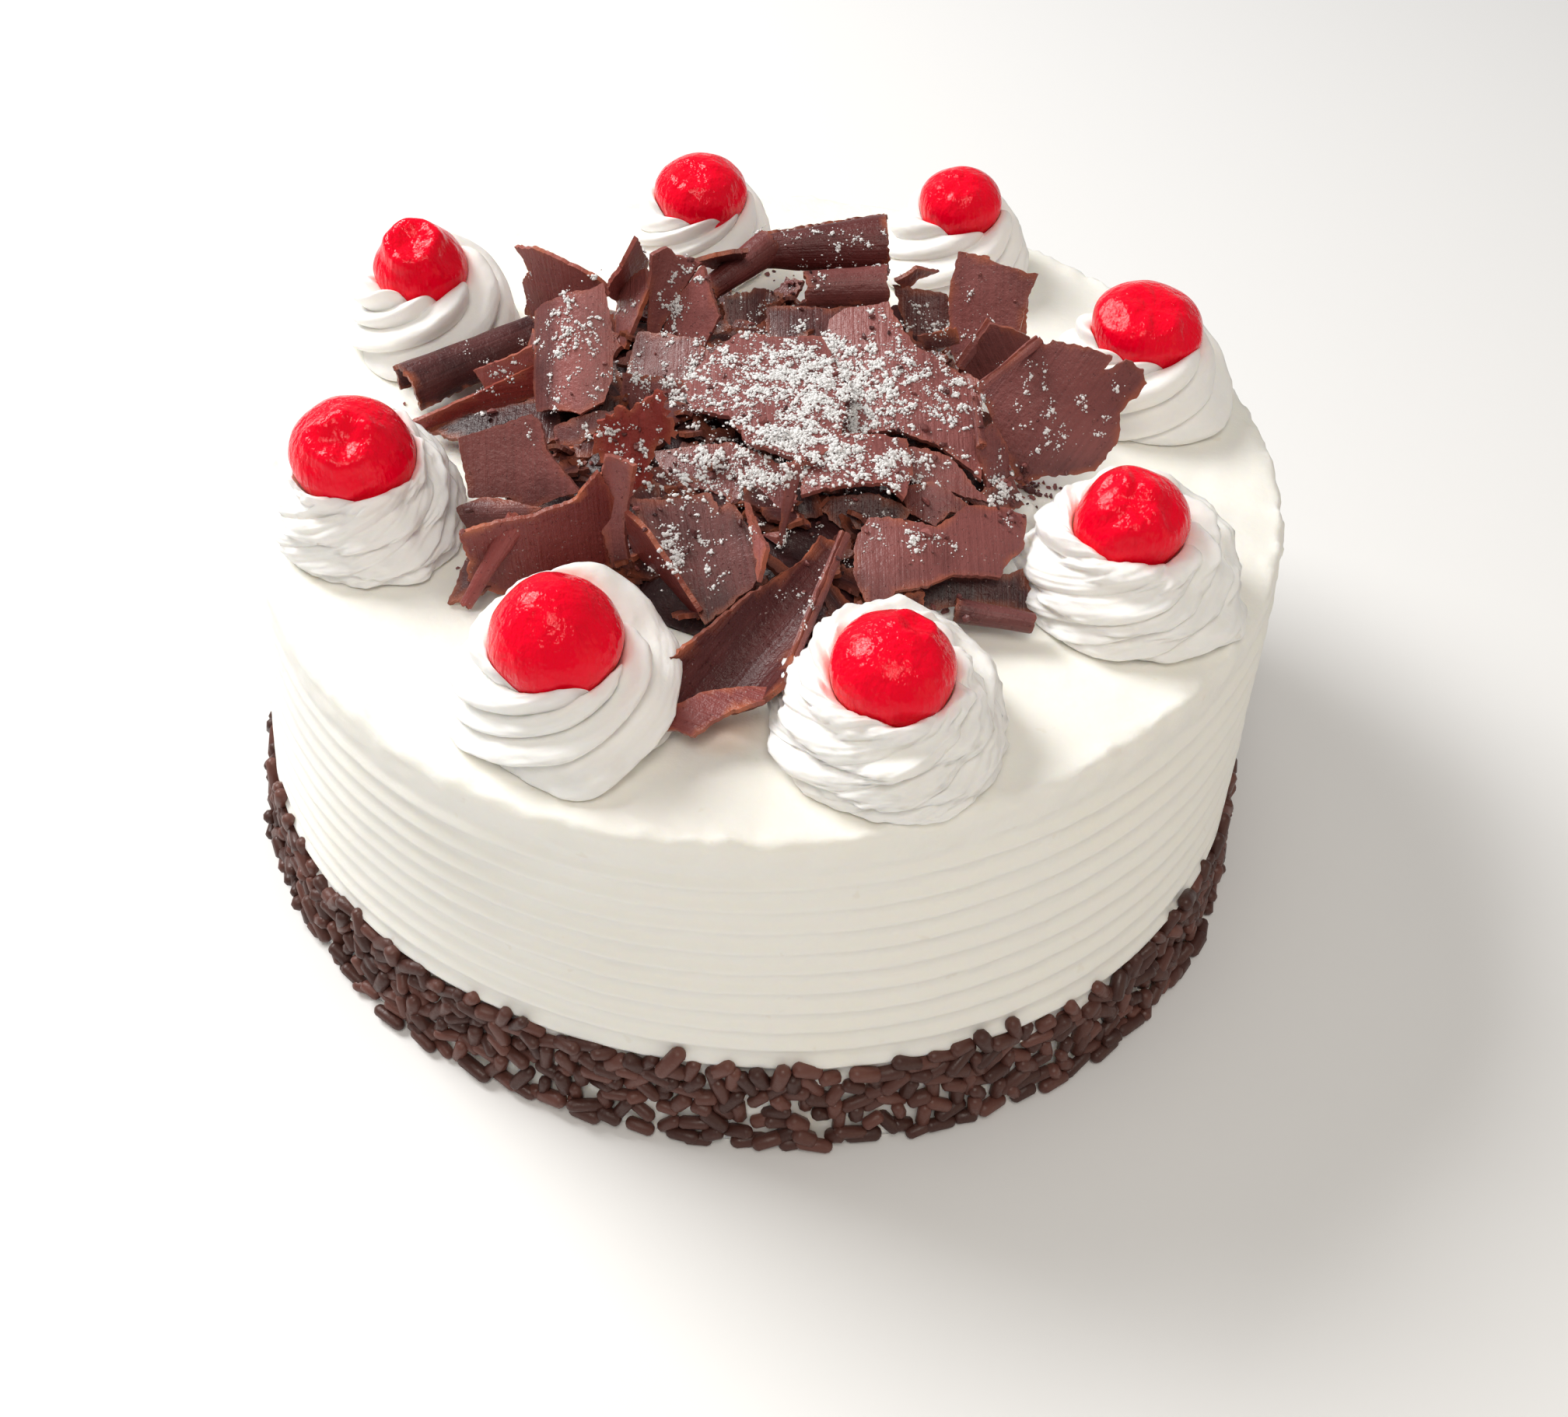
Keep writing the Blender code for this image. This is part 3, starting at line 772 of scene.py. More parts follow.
@dataclass
class Cherry:
    """One stoned, preserved cherry in its swirl's dish."""

    number: int
    x: float
    y: float
    width: float
    tall: float
    taper: float
    lean: float
    lean_heading: float
    pits: tuple[Pit, ...]
    uneven: float = 0.03
    lift: float = 17.3
    segments: int = 72
    rings: int = 44

    def dent(self, direction: Vector) -> float:
        """Return how much the skin sinks in one direction, as a share of the radius.

        Args:
            direction: a unit direction from the cherry's middle.

        Returns:
            The sink as a share of the radius.
        """
        total = 0.0
        for pit in self.pits:
            heading, rise = math.radians(pit.heading), math.radians(pit.rise)
            axis = Vector(
                (math.cos(heading) * math.cos(rise), math.sin(heading) * math.cos(rise), math.sin(rise))
            )
            apart = math.degrees(math.acos(max(-1.0, min(1.0, direction.dot(axis))))) / pit.width
            total += pit.depth * (1.0 - smooth_step(apart, 0.15, 1.0))
            total -= pit.rim * pit.depth * math.exp(-(((apart - 1.15) / 0.35) ** 2))
            if pit.folds:
                side = axis.orthogonal().normalized()
                turn = math.atan2(direction.dot(axis.cross(side)), direction.dot(side))
                wave = math.sin(5 * turn + 2.5 * noise.noise(direction * 2.0))
                total += pit.folds * wave * math.exp(-(((apart - 1.0) / 0.7) ** 2))
        return total

    def build(self, finish: bpy.types.Material) -> bpy.types.Object:
        """Shape a ball into the cherry and return the piece.

        Args:
            finish: the cherries' material.

        Returns:
            The piece.
        """
        bm = bmesh.new()
        bmesh.ops.create_uvsphere(bm, u_segments=self.segments, v_segments=self.rings, radius=1.0)
        heading = math.radians(self.lean_heading)
        axis = Vector((math.cos(heading), math.sin(heading), 0))
        tilt = Matrix.Rotation(math.radians(self.lean), 3, Vector((0, 0, 1)).cross(axis))
        shift = Vector((7.0 * self.number, 3.0, 1.0))
        for vert in bm.verts:
            direction = vert.co.normalized()
            wave = noise.noise(direction * 1.3 + shift) + 0.4 * noise.noise(direction * 3.2 + shift)
            size = 1.0 + self.uneven * wave - self.dent(direction)
            at = direction * size
            narrow = 1.0 - self.taper * smooth_step(direction.z, -0.2, 1.0)
            at = tilt @ Vector((at.x * narrow, at.y * narrow, at.z * (self.tall if at.z > 0 else 1.0)))
            at = at * (self.width / 2)
            vert.co = (at + Vector((self.x, self.y, CAKE_HEIGHT + self.lift))) * MM
        piece = keep_piece(f"glazed_cherry_{self.number}", bm, finish)
        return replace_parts(piece, f"cherry_{self.number}")


@dataclass(frozen=True)
class Tail:
    """Where a swirl's rope of cream ends in a lobe that sticks out of the foot."""

    heading: float
    reach: float
    width: float = 26.0


@dataclass
class Swirl:
    """One piped swirl of cream: twisted ridges round the dish that holds the cherry."""

    number: int
    x: float
    y: float
    width: float
    height: float
    ball: float
    lobes: int
    twist: float
    depth: float = 0.15
    skew: float = 1.7
    coils: float = 0.0
    coil_depth: float = 0.0
    ruffle: float = 0.25
    tails: tuple[Tail, ...] = ()
    shift: tuple[float, float] = (0.0, 0.0)
    crests: tuple[tuple[float, float], ...] = ((90.0, 3.0),)
    lap: float = 13.6
    columns: int = 240
    rows: int = 84
    lift: float = 17.3
    gap: float = 0.3
    lumps: Rough = Rough(1.3, 5.0)
    flecks: Rough = Rough(0.5, 1.7)

    def rings(self) -> list[tuple[float, float, float, float, float]]:
        """Work out the rings that the skin runs through, from the dish to the foot.

        Returns:
            Radius and height in mm, valley depth, turn and share of the back's rise of each ring.
        """
        radius, ball = self.width / 2, self.ball / 2
        low = self.lift - self.lap
        inner = math.sqrt(max(1.0, ball * ball - low * low))
        made = [
            (0.0, self.lift - ball - 0.3, 0.0, 1.10, 0.0),
            (0.55 * ball, self.lift - 0.84 * ball - 0.3, 0.0, 1.10, 0.0),
            (inner - 0.4, self.lap, 0.15, 1.08, 0.7),
            (max(0.60 * radius, inner + 1.4), self.height, 0.75, 1.00, 1.0),
        ]
        for share, tall, valley, turn, rear in (
            (0.76, 0.85, 1.0, 0.82, 0.85),
            (0.90, 0.58, 1.0, 0.55, 0.45),
            (0.99, 0.29, 1.0, 0.27, 0.15),
            (0.99, 0.10, 0.9, 0.08, 0.0),
            (0.92, 0.00, 0.6, 0.0, 0.0),
        ):
            made.append((radius * share, self.gap + (self.height - self.gap) * tall, valley, turn, rear))
        made += [(0.70 * radius, self.gap, 0.3, 0.0, 0.0), (0.0, self.gap, 0.0, 0.0, 0.0)]
        return made

    @staticmethod
    def along(rings: list[tuple[float, ...]], share: float) -> tuple[float, ...]:
        """Return the smooth curve through the rings at a share of their length.

        Args:
            rings: the values of each ring.
            share: how far along them, from 0 to 1.

        Returns:
            The values there.
        """
        spot = share * (len(rings) - 1)
        index = min(int(spot), len(rings) - 2)
        t = spot - index
        quad = [rings[max(0, min(len(rings) - 1, index + k))] for k in (-1, 0, 1, 2)]
        weights = (
            0.5 * (-t + 2 * t * t - t**3),
            0.5 * (2 - 5 * t * t + 3 * t**3),
            0.5 * (t + 4 * t * t - 3 * t**3),
            0.5 * (-t * t + t**3),
        )
        return tuple(sum(w * point[k] for w, point in zip(weights, quad)) for k in range(5))

    def build(self, finish: bpy.types.Material) -> bpy.types.Object:
        """Shape a ball's rings and columns into the swirl and return the piece.

        Args:
            finish: the piped cream's material.

        Returns:
            The piece.
        """
        rings = self.rings()
        curve = [self.along(rings, i / self.rows) for i in range(self.rows + 1)]
        bm = bmesh.new()
        bmesh.ops.create_uvsphere(bm, u_segments=self.columns, v_segments=self.rows, radius=1.0)
        juice = bm.verts.layers.float.new("juice")
        bm.verts.layers.float.new("glow")
        middle = Vector((self.x, self.y, CAKE_HEIGHT + self.lift))
        for vert in bm.verts:
            row = round(math.acos(max(-1.0, min(1.0, vert.co.z))) / math.pi * self.rows)
            angle = math.atan2(vert.co.y, vert.co.x)
            at = self.skin(curve[row], row / self.rows, angle)
            away = at - middle
            hug = self.ball / 2 + 0.12
            if away.length < hug:
                at = middle + away * (hug / away.length)
            apart = (at - middle).length - self.ball / 2
            stain = max(0.0, ripple(at.x, at.y, at.z, 5.0)) + 0.15
            vert[juice] = min(0.4, stain) * (1.0 - smooth_step(apart, 0.3, 2.2))
            vert.co = at * MM
        piece = keep_piece(f"piped_swirl_{self.number}", bm, finish)
        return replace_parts(piece, f"swirl_{self.number}")

    def ridge(self, angle: float, share: float) -> float:
        """Work out how full a lobe is at one place of the skin.

        Args:
            angle: the column's angle before the twist.
            share: how far along the skin.

        Returns:
            The fullness, from 0 in a crease to about 1.
        """
        seed = 10.0 * self.number
        warped = angle + 0.24 * math.sin(angle + seed) + 0.11 * math.sin(2 * angle + 2 * seed)
        around = Vector((2.0 * math.cos(angle), 2.0 * math.sin(angle), 5.0 * share + seed))
        warped += 0.10 * noise.noise(around)
        phase = (self.lobes * warped / math.tau) % 1.0
        lobe = math.floor(self.lobes * warped / math.tau) % self.lobes
        fullness = 0.78 + 0.5 * noise.noise(Vector((lobe * 3.7, seed, 0.5)))
        return math.sin(math.pi * phase**self.skew) ** 0.6 * fullness

    def layer(self, angle: float, share: float) -> float:
        """Work out how far a ruffled layer sticks out at one place of the skin.

        Args:
            angle: the column's angle before the twist.
            share: how far along the skin.

        Returns:
            How far it sticks out, from -0.5 to 0.5.
        """
        if not self.coils:
            return 0.0
        seed = 10.0 * self.number
        x, y = math.cos(angle), math.sin(angle)
        waves = 0.30 * noise.noise(Vector((3.0 * x, 3.0 * y, seed)))
        waves += 0.14 * noise.noise(Vector((9.0 * x, 9.0 * y, seed + 6.0 * share)))
        down = smooth_step(share, 0.22, 0.85) * self.coils
        wave = (down + angle / math.tau + waves) % 1.0
        return smooth_step(wave, 0.0, 0.7) - smooth_step(wave, 0.84, 1.0) - 0.5

    def skin(self, point: tuple[float, ...], share: float, angle: float) -> Vector:
        """Return one point of the swirl's skin in mm.

        Args:
            point: the curve's values there.
            share: how far along the curve, from the dish to the foot.
            angle: the column's angle before the twist.

        Returns:
            The point from the part's origin.
        """
        radius, height, valley, turn, rear = point
        seed = 10.0 * self.number
        heading = angle + math.radians(self.twist) * turn
        full = self.ridge(angle, share)
        layer = self.layer(angle, share) * self.coil_depth
        spread = radius * (1.0 - self.depth * valley * (1.0 - full) + layer * valley)
        crest = smooth_step(share, 0.12, 0.28) * (1.0 - smooth_step(share, 0.36, 0.62))
        rise = crest * (full - 0.7) * 1.15 * self.depth * self.height + crest * layer * self.height
        for side, extra in self.crests:
            rise += rear * extra * max(0.0, math.cos(heading - math.radians(side))) ** 1.4
        for tail in self.tails:
            apart = math.degrees((heading - math.radians(tail.heading) + math.pi) % math.tau - math.pi)
            push = math.exp(-((apart / tail.width) ** 2)) * smooth_step(share, 0.45, 0.75)
            spread += tail.reach * push * (radius / (self.width / 2))
        rough = self.ruffle * smooth_step(share, 0.14, 0.26)
        x, y = spread * math.cos(heading), spread * math.sin(heading)
        lumps = self.lumps.at(x + seed, y, 1.5 * height)
        wobble = rough * (lumps + self.flecks.at(x + seed, y, 2.2 * height))
        grow = 1.0 + wobble / max(4.0, spread)
        slide = smooth_step(share, 0.2, 0.45)
        z = max(self.gap, height + rise + 0.7 * wobble * valley)
        x = self.x + x * grow + self.shift[0] * slide
        y = self.y + y * grow + self.shift[1] * slide
        return Vector((x, y, CAKE_HEIGHT + z))


@dataclass(frozen=True)
class PhotoView:
    """The camera of the photograph, whose frame is 2016 by 1822 pixels."""

    spot: tuple[float, float, float] = (-1.4, -244.5, 263.5)
    forward: tuple[float, float, float] = (0.01683, 0.69370, -0.72007)
    right: tuple[float, float, float] = (0.99943, 0.00930, 0.03232)
    up: tuple[float, float, float] = (-0.02912, 0.72020, 0.69315)
    middle: tuple[float, float] = (1008.0, 911.0)
    focal: float = 2100.0
    lens: float = 37.5
    sensor: float = 36.0

    def ray(self, px: float, py: float) -> Vector:
        """Return the direction in which a pixel looks."""
        across, down = (px - self.middle[0]) / self.focal, (py - self.middle[1]) / self.focal
        return (Vector(self.forward) + Vector(self.right) * across - Vector(self.up) * down).normalized()

    def at_height(self, px: float, py: float, height: float) -> Vector:
        """Return the point in mm that a pixel shows at a height in mm above the cake's top."""
        ray = self.ray(px, py)
        return Vector(self.spot) + ray * ((CAKE_HEIGHT + height - self.spot[2]) / ray.z)

    def on_plane(self, px: float, py: float, point: Vector, normal: Vector) -> Vector:
        """Return the point in mm that a pixel shows on a plane."""
        ray = self.ray(px, py)
        return Vector(self.spot) + ray * ((point - Vector(self.spot)).dot(normal) / ray.dot(normal))

    def add_camera(self) -> None:
        """Add the scene's camera."""
        data = bpy.data.cameras.new("photo_camera")
        data.lens, data.sensor_width = self.lens, self.sensor
        data.clip_start, data.clip_end = 0.01, 20.0
        camera = bpy.data.objects.new("photo_camera", data)
        turn = Matrix((self.right, self.up, tuple(-value for value in self.forward))).transposed()
        camera.matrix_world = Matrix.Translation(Vector(self.spot) * MM) @ turn.to_4x4()
        bpy.context.scene.collection.objects.link(camera)
        bpy.context.scene.camera = camera


VIEW = PhotoView()


def distance_to_outline(x: float, y: float, outline: list[tuple[float, float]]) -> float:
    """Return the distance in mm from a point to the nearest side of an outline.

    Args:
        x: the point's first place in mm.
        y: the point's second place in mm.
        outline: the corners in mm.

    Returns:
        The distance in mm.
    """
    best = 1e9
    for (ax, ay), (bx, by) in zip(outline, outline[1:] + outline[:1]):
        dx, dy = bx - ax, by - ay
        t = max(0.0, min(1.0, ((x - ax) * dx + (y - ay) * dy) / max(1e-9, dx * dx + dy * dy)))
        best = min(best, (ax + t * dx - x) ** 2 + (ay + t * dy - y) ** 2)
    return math.sqrt(best)


@dataclass(frozen=True)
class Shard:
    """A scraped shard, by its outline in the photograph; three corners have heights that set its plane."""

    name: str
    outline: tuple[tuple[float, ...], ...]
    bend: float = 1.2
    turn: float = 0.0
    curls: tuple[float, float] = (0.0, 0.0)
    tone: float = 0.75
    jag: float = 0.35
    # red: strength of the painted glow of light shining through the thin edge
    red: float = 0.55
    wave: float = 0.35
    scrape: float = 90.0
    # blush: painted red glow of light shining through the whole sheet
    backlit_glow: float = 0.0
    # painted shade: how much darker the shard's first side is, where it turns away from the light
    painted_shade_side: float = 0.0
    ribs: float = 0.0


@dataclass(frozen=True)
class Curl:
    """A rolled shard: pixels and heights of its axis, its radii in mm, and how far it wraps."""

    name: str
    start: tuple[float, float, float]
    end: tuple[float, float, float]
    radii: tuple[float, float]
    wrap: float = 300.0
    opening: float = 90.0
    spiral: float = 0.0
    tone: float = 0.6
    jag: float = 0.5
    # red: strength of the painted glow of light shining through the thin edge
    red: float = 0.5
    # blush: painted red glow of light shining through the whole sheet
    backlit_glow: float = 0.0


@dataclass
class ChocolateMesh:
    """Builds sheets of chocolate into one mesh, with their tone, thin edges and scrape lines."""

    thickness: float = 0.85
    cell: float = 1.3
    seed: int = 5
    bm: bmesh.types.BMesh = field(default_factory=bmesh.new)

    def __post_init__(self) -> None:
        """Add the layers that the finish reads."""
        for layer in ("tone", "thin", "backlit_glow"):
            self.bm.verts.layers.float.new(layer)
        self.bm.loops.layers.uv.new("scrape")

    def thicken(self, sheet: bmesh.types.BMesh, thickness: float) -> None:
        """Give a flat sheet its thickness and add it to the whole mesh.

        Args:
            sheet: the sheet in metres, which is freed.
            thickness: its thickness in mm.
        """
        bmesh.ops.recalc_face_normals(sheet, faces=sheet.faces)
        bmesh.ops.solidify(sheet, geom=sheet.faces[:], thickness=thickness * MM)
        bmesh.ops.recalc_face_normals(sheet, faces=sheet.faces)
        made = bpy.data.meshes.new("sheet")
        sheet.to_mesh(made)
        sheet.free()
        self.bm.from_mesh(made)
        bpy.data.meshes.remove(made)

    def flat_sheet(
        self, corners: list[tuple[float, float]], jag: float, salt: float
    ) -> tuple[bmesh.types.BMesh, list[tuple[float, float]]]:
        """Cut a flat sheet to a torn outline and divide it into small cells.

        Args:
            corners: the outline in mm.
            jag: how far its edge is torn in mm.
            salt: a number that makes its noise its own.

        Returns:
            The sheet and its torn outline.
        """
        sheet = bmesh.new()
        for layer in ("tone", "thin", "backlit_glow"):
            sheet.verts.layers.float.new(layer)
        sheet.loops.layers.uv.new("scrape")
        torn: list[tuple[float, float]] = []
        for (ax, ay), (bx, by) in zip(corners, corners[1:] + corners[:1]):
            length = math.hypot(bx - ax, by - ay)
            parts = max(1, round(length / 0.6))
            for i in range(parts):
                t = i / parts
                x, y = ax + (bx - ax) * t, ay + (by - ay) * t
                push = noise.noise(Vector((x * 0.9, y * 0.9, salt)))
                push += 0.8 * noise.noise(Vector((x * 0.25, y * 0.25, salt)))
                push += 0.7 * noise.noise(Vector((x * 2.3, y * 2.3, salt)))
                push *= jag * min(1.0, 4 * t * (1 - t) + 0.35)
                span = max(length, 0.1)
                torn.append((x + push * (by - ay) / span, y - push * (bx - ax) / span))
        verts = [sheet.verts.new((x, y, 0.0)) for x, y in torn]
        sheet.faces.new(verts)
        for axis in (0, 1):
            values = [point[axis] for point in torn]
            steps = max(1, int((max(values) - min(values)) / self.cell))
            for i in range(1, steps):
                at = min(values) + (max(values) - min(values)) * i / steps
                where, way = Vector((0, 0, 0)), Vector((0, 0, 0))
                where[axis], way[axis] = at, 1.0
                bmesh.ops.bisect_plane(
                    sheet, geom=sheet.verts[:] + sheet.edges[:] + sheet.faces[:], plane_co=where, plane_no=way
                )
        bmesh.ops.triangulate(sheet, faces=[face for face in sheet.faces if len(face.verts) > 4])
        return sheet, torn

    def mark(
        self,
        sheet: bmesh.types.BMesh,
        torn: list[tuple[float, float]],
        shade: float,
        red: float,
        scrape: float,
        backlit_glow: float,
    ) -> None:
        """Store a flat sheet's tone, the painted glow of light through its thin edges and through the whole
        sheet, and the lines of the scraper.

        Args:
            sheet: the sheet, still flat.
            torn: its outline in mm.
            shade: how light it is, 0 to 1.
            red: how strongly the painted glow of light through its thin edge shows, 0 to 1.
            scrape: the angle of its scrape lines in degrees.
            backlit_glow: how far the whole sheet takes the painted red glow of light shining through it, 0 to
                1.
        """
        tone, thin, backlit_layer = (sheet.verts.layers.float[key] for key in ("tone", "thin", "backlit_glow"))
        uv = sheet.loops.layers.uv["scrape"]
        c, s = math.cos(math.radians(scrape)), math.sin(math.radians(scrape))
        for vert in sheet.verts:
            edge = distance_to_outline(vert.co.x, vert.co.y, torn)
            spot = Vector((vert.co.x * 0.22, vert.co.y * 0.22, shade + scrape))
            reach = 0.22 + 2.0 * max(0.0, noise.noise(spot) + 0.05)
            vert[tone] = shade
            # painted glow: the sheet's share of red light shining through it
            vert[backlit_layer] = backlit_glow
            # painted glow: light shining through the thin edge, in a band of uneven width
            vert[thin] = red * (1.0 - smooth_step(edge, 0.0, reach)) * min(1.0, 0.12 + 0.9 * reach)
        for face in sheet.faces:
            for loop in face.loops:
                x, y = loop.vert.co.x, loop.vert.co.y
                loop[uv].uv = (0.05 * (x * c + y * s), 1.6 * (y * c - x * s))

    def add_shard(self, spec: Shard) -> None:
        """Build one shard through its pixels and add it.

        Args:
            spec: the shard's outline and look.
        """
        fixed = [VIEW.at_height(*corner) for corner in spec.outline if len(corner) == 3]
        normal = (fixed[1] - fixed[0]).cross(fixed[2] - fixed[0]).normalized()
        if normal.dot(Vector(VIEW.forward)) > 0:
            normal.negate()
        across = Vector(VIEW.right)
        across = (across - normal * across.dot(normal)).normalized()
        across = Matrix.Rotation(math.radians(spec.turn), 3, normal) @ across
        along = normal.cross(across)
        points = [VIEW.on_plane(px, py, fixed[0], normal) - fixed[0] for px, py, *_ in spec.outline]
        corners = [(point.dot(across), point.dot(along)) for point in points]
        salt = sum(ord(letter) for letter in spec.name) * 0.37
        sheet, torn = self.flat_sheet(corners, spec.jag, salt)
        self.mark(sheet, torn, spec.tone, spec.red, spec.scrape, spec.backlit_glow)
        low, high = min(x for x, _ in torn), max(x for x, _ in torn)
        tone = sheet.verts.layers.float["tone"]
        for vert in sheet.verts:
            x, y = vert.co.x, vert.co.y
            u = (x - low) / (high - low)
            out = 4 * u * (1 - u) * spec.bend
            out += spec.curls[0] * max(0.0, 1 - u / 0.4) ** 2
            out += spec.curls[1] * max(0.0, (u - 0.6) / 0.4) ** 2
            out += spec.wave * noise.noise(Vector((x * 0.13, y * 0.13, salt)))
            out += spec.ribs * math.sin(1.9 * x + 0.8 * math.sin(0.5 * y)) * (0.5 + 0.5 * u)
            at = fixed[0] + across * x + along * y + normal * out
            # painted shade: the first side of the shard is darker, where it turns away from the light
            vert[tone] -= spec.painted_shade_side * (1.0 - smooth_step(u, 0.30, 0.48))
            # painted shade: parts of the shard that sit low in the heap are darker
            vert[tone] *= 0.3 + 0.7 * smooth_step(at.z - CAKE_HEIGHT, 1.0, 13.0)
            vert.co = at * MM
        self.thicken(sheet, self.thickness)

    def add_curl(self, spec: Curl) -> None:
        """Build one rolled shard and add it.

        Args:
            spec: the curl's axis, radii and look.
        """
        start, end = VIEW.at_height(*spec.start), VIEW.at_height(*spec.end)
        axis = (end - start).normalized()
        side = axis.cross(Vector((0.0, 0.0, 1.0))).normalized()
        upward = side.cross(axis)
        first = math.radians(spec.opening + (360.0 - spec.wrap) / 2)
        length, width = (end - start).length, math.radians(spec.wrap) * sum(spec.radii) / 2
        salt = sum(ord(letter) for letter in spec.name) * 0.37
        corners = [(0.0, 0.0), (length, 0.0), (length, width), (0.0, width)]
        sheet, torn = self.flat_sheet(corners, spec.jag, salt)
        self.mark(sheet, torn, spec.tone, spec.red, 0.0, spec.backlit_glow)
        for vert in sheet.verts:
            u, v = vert.co.x / length, vert.co.y / width
            turn = first + math.radians(spec.wrap) * v
            radius = spec.radii[0] + (spec.radii[1] - spec.radii[0]) * u - spec.spiral * v
            radius += 0.25 * noise.noise(Vector((vert.co.x * 0.2, vert.co.y * 0.2, salt)))
            spoke = side * math.cos(turn) + upward * math.sin(turn)
            vert.co = (start + axis * (length * u) + spoke * (radius - self.thickness / 2)) * MM
        self.thicken(sheet, self.thickness)

    def add_scrap(
        self, place: Matrix, width: float, length: float, bend: float, shade: float, salt: float
    ) -> None:
        """Build one small shard and add it.

        Args:
            place: its place in mm.
            width: its width in mm.
            length: its length in mm.
            bend: how far its middle stands out in mm.
            shade: how light it is, 0 to 1.
            salt: a number that makes its noise its own.
        """
        half_w, half_l = width / 2, length / 2
        shares = ((-1.0, -1.0), (1.0, -0.7), (0.8, 1.0), (-0.6, 0.8))
        corners = [(half_w * across, half_l * along) for across, along in shares]
        sheet, torn = self.flat_sheet(corners, 0.6, salt)
        self.mark(sheet, torn, shade, 0.5, 90.0, 0.0)
        for vert in sheet.verts:
            u = vert.co.x / width + 0.5
            spot = Vector((vert.co.x, vert.co.y, 4 * u * (1 - u) * bend))
            vert.co = (place @ spot) * MM
        self.thicken(sheet, 0.8)

    def finish(self, name: str, finish: bpy.types.Material) -> bpy.types.Object:
        """Close the mesh as a piece whose edges stay crisp.

        Args:
            name: the piece's name.
            finish: its material.

        Returns:
            The piece.
        """
        piece = keep_piece(name, self.bm, finish)
        piece.data.set_sharp_from_angle(angle=math.radians(42.0))
        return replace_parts(piece, "chocolate_heap")


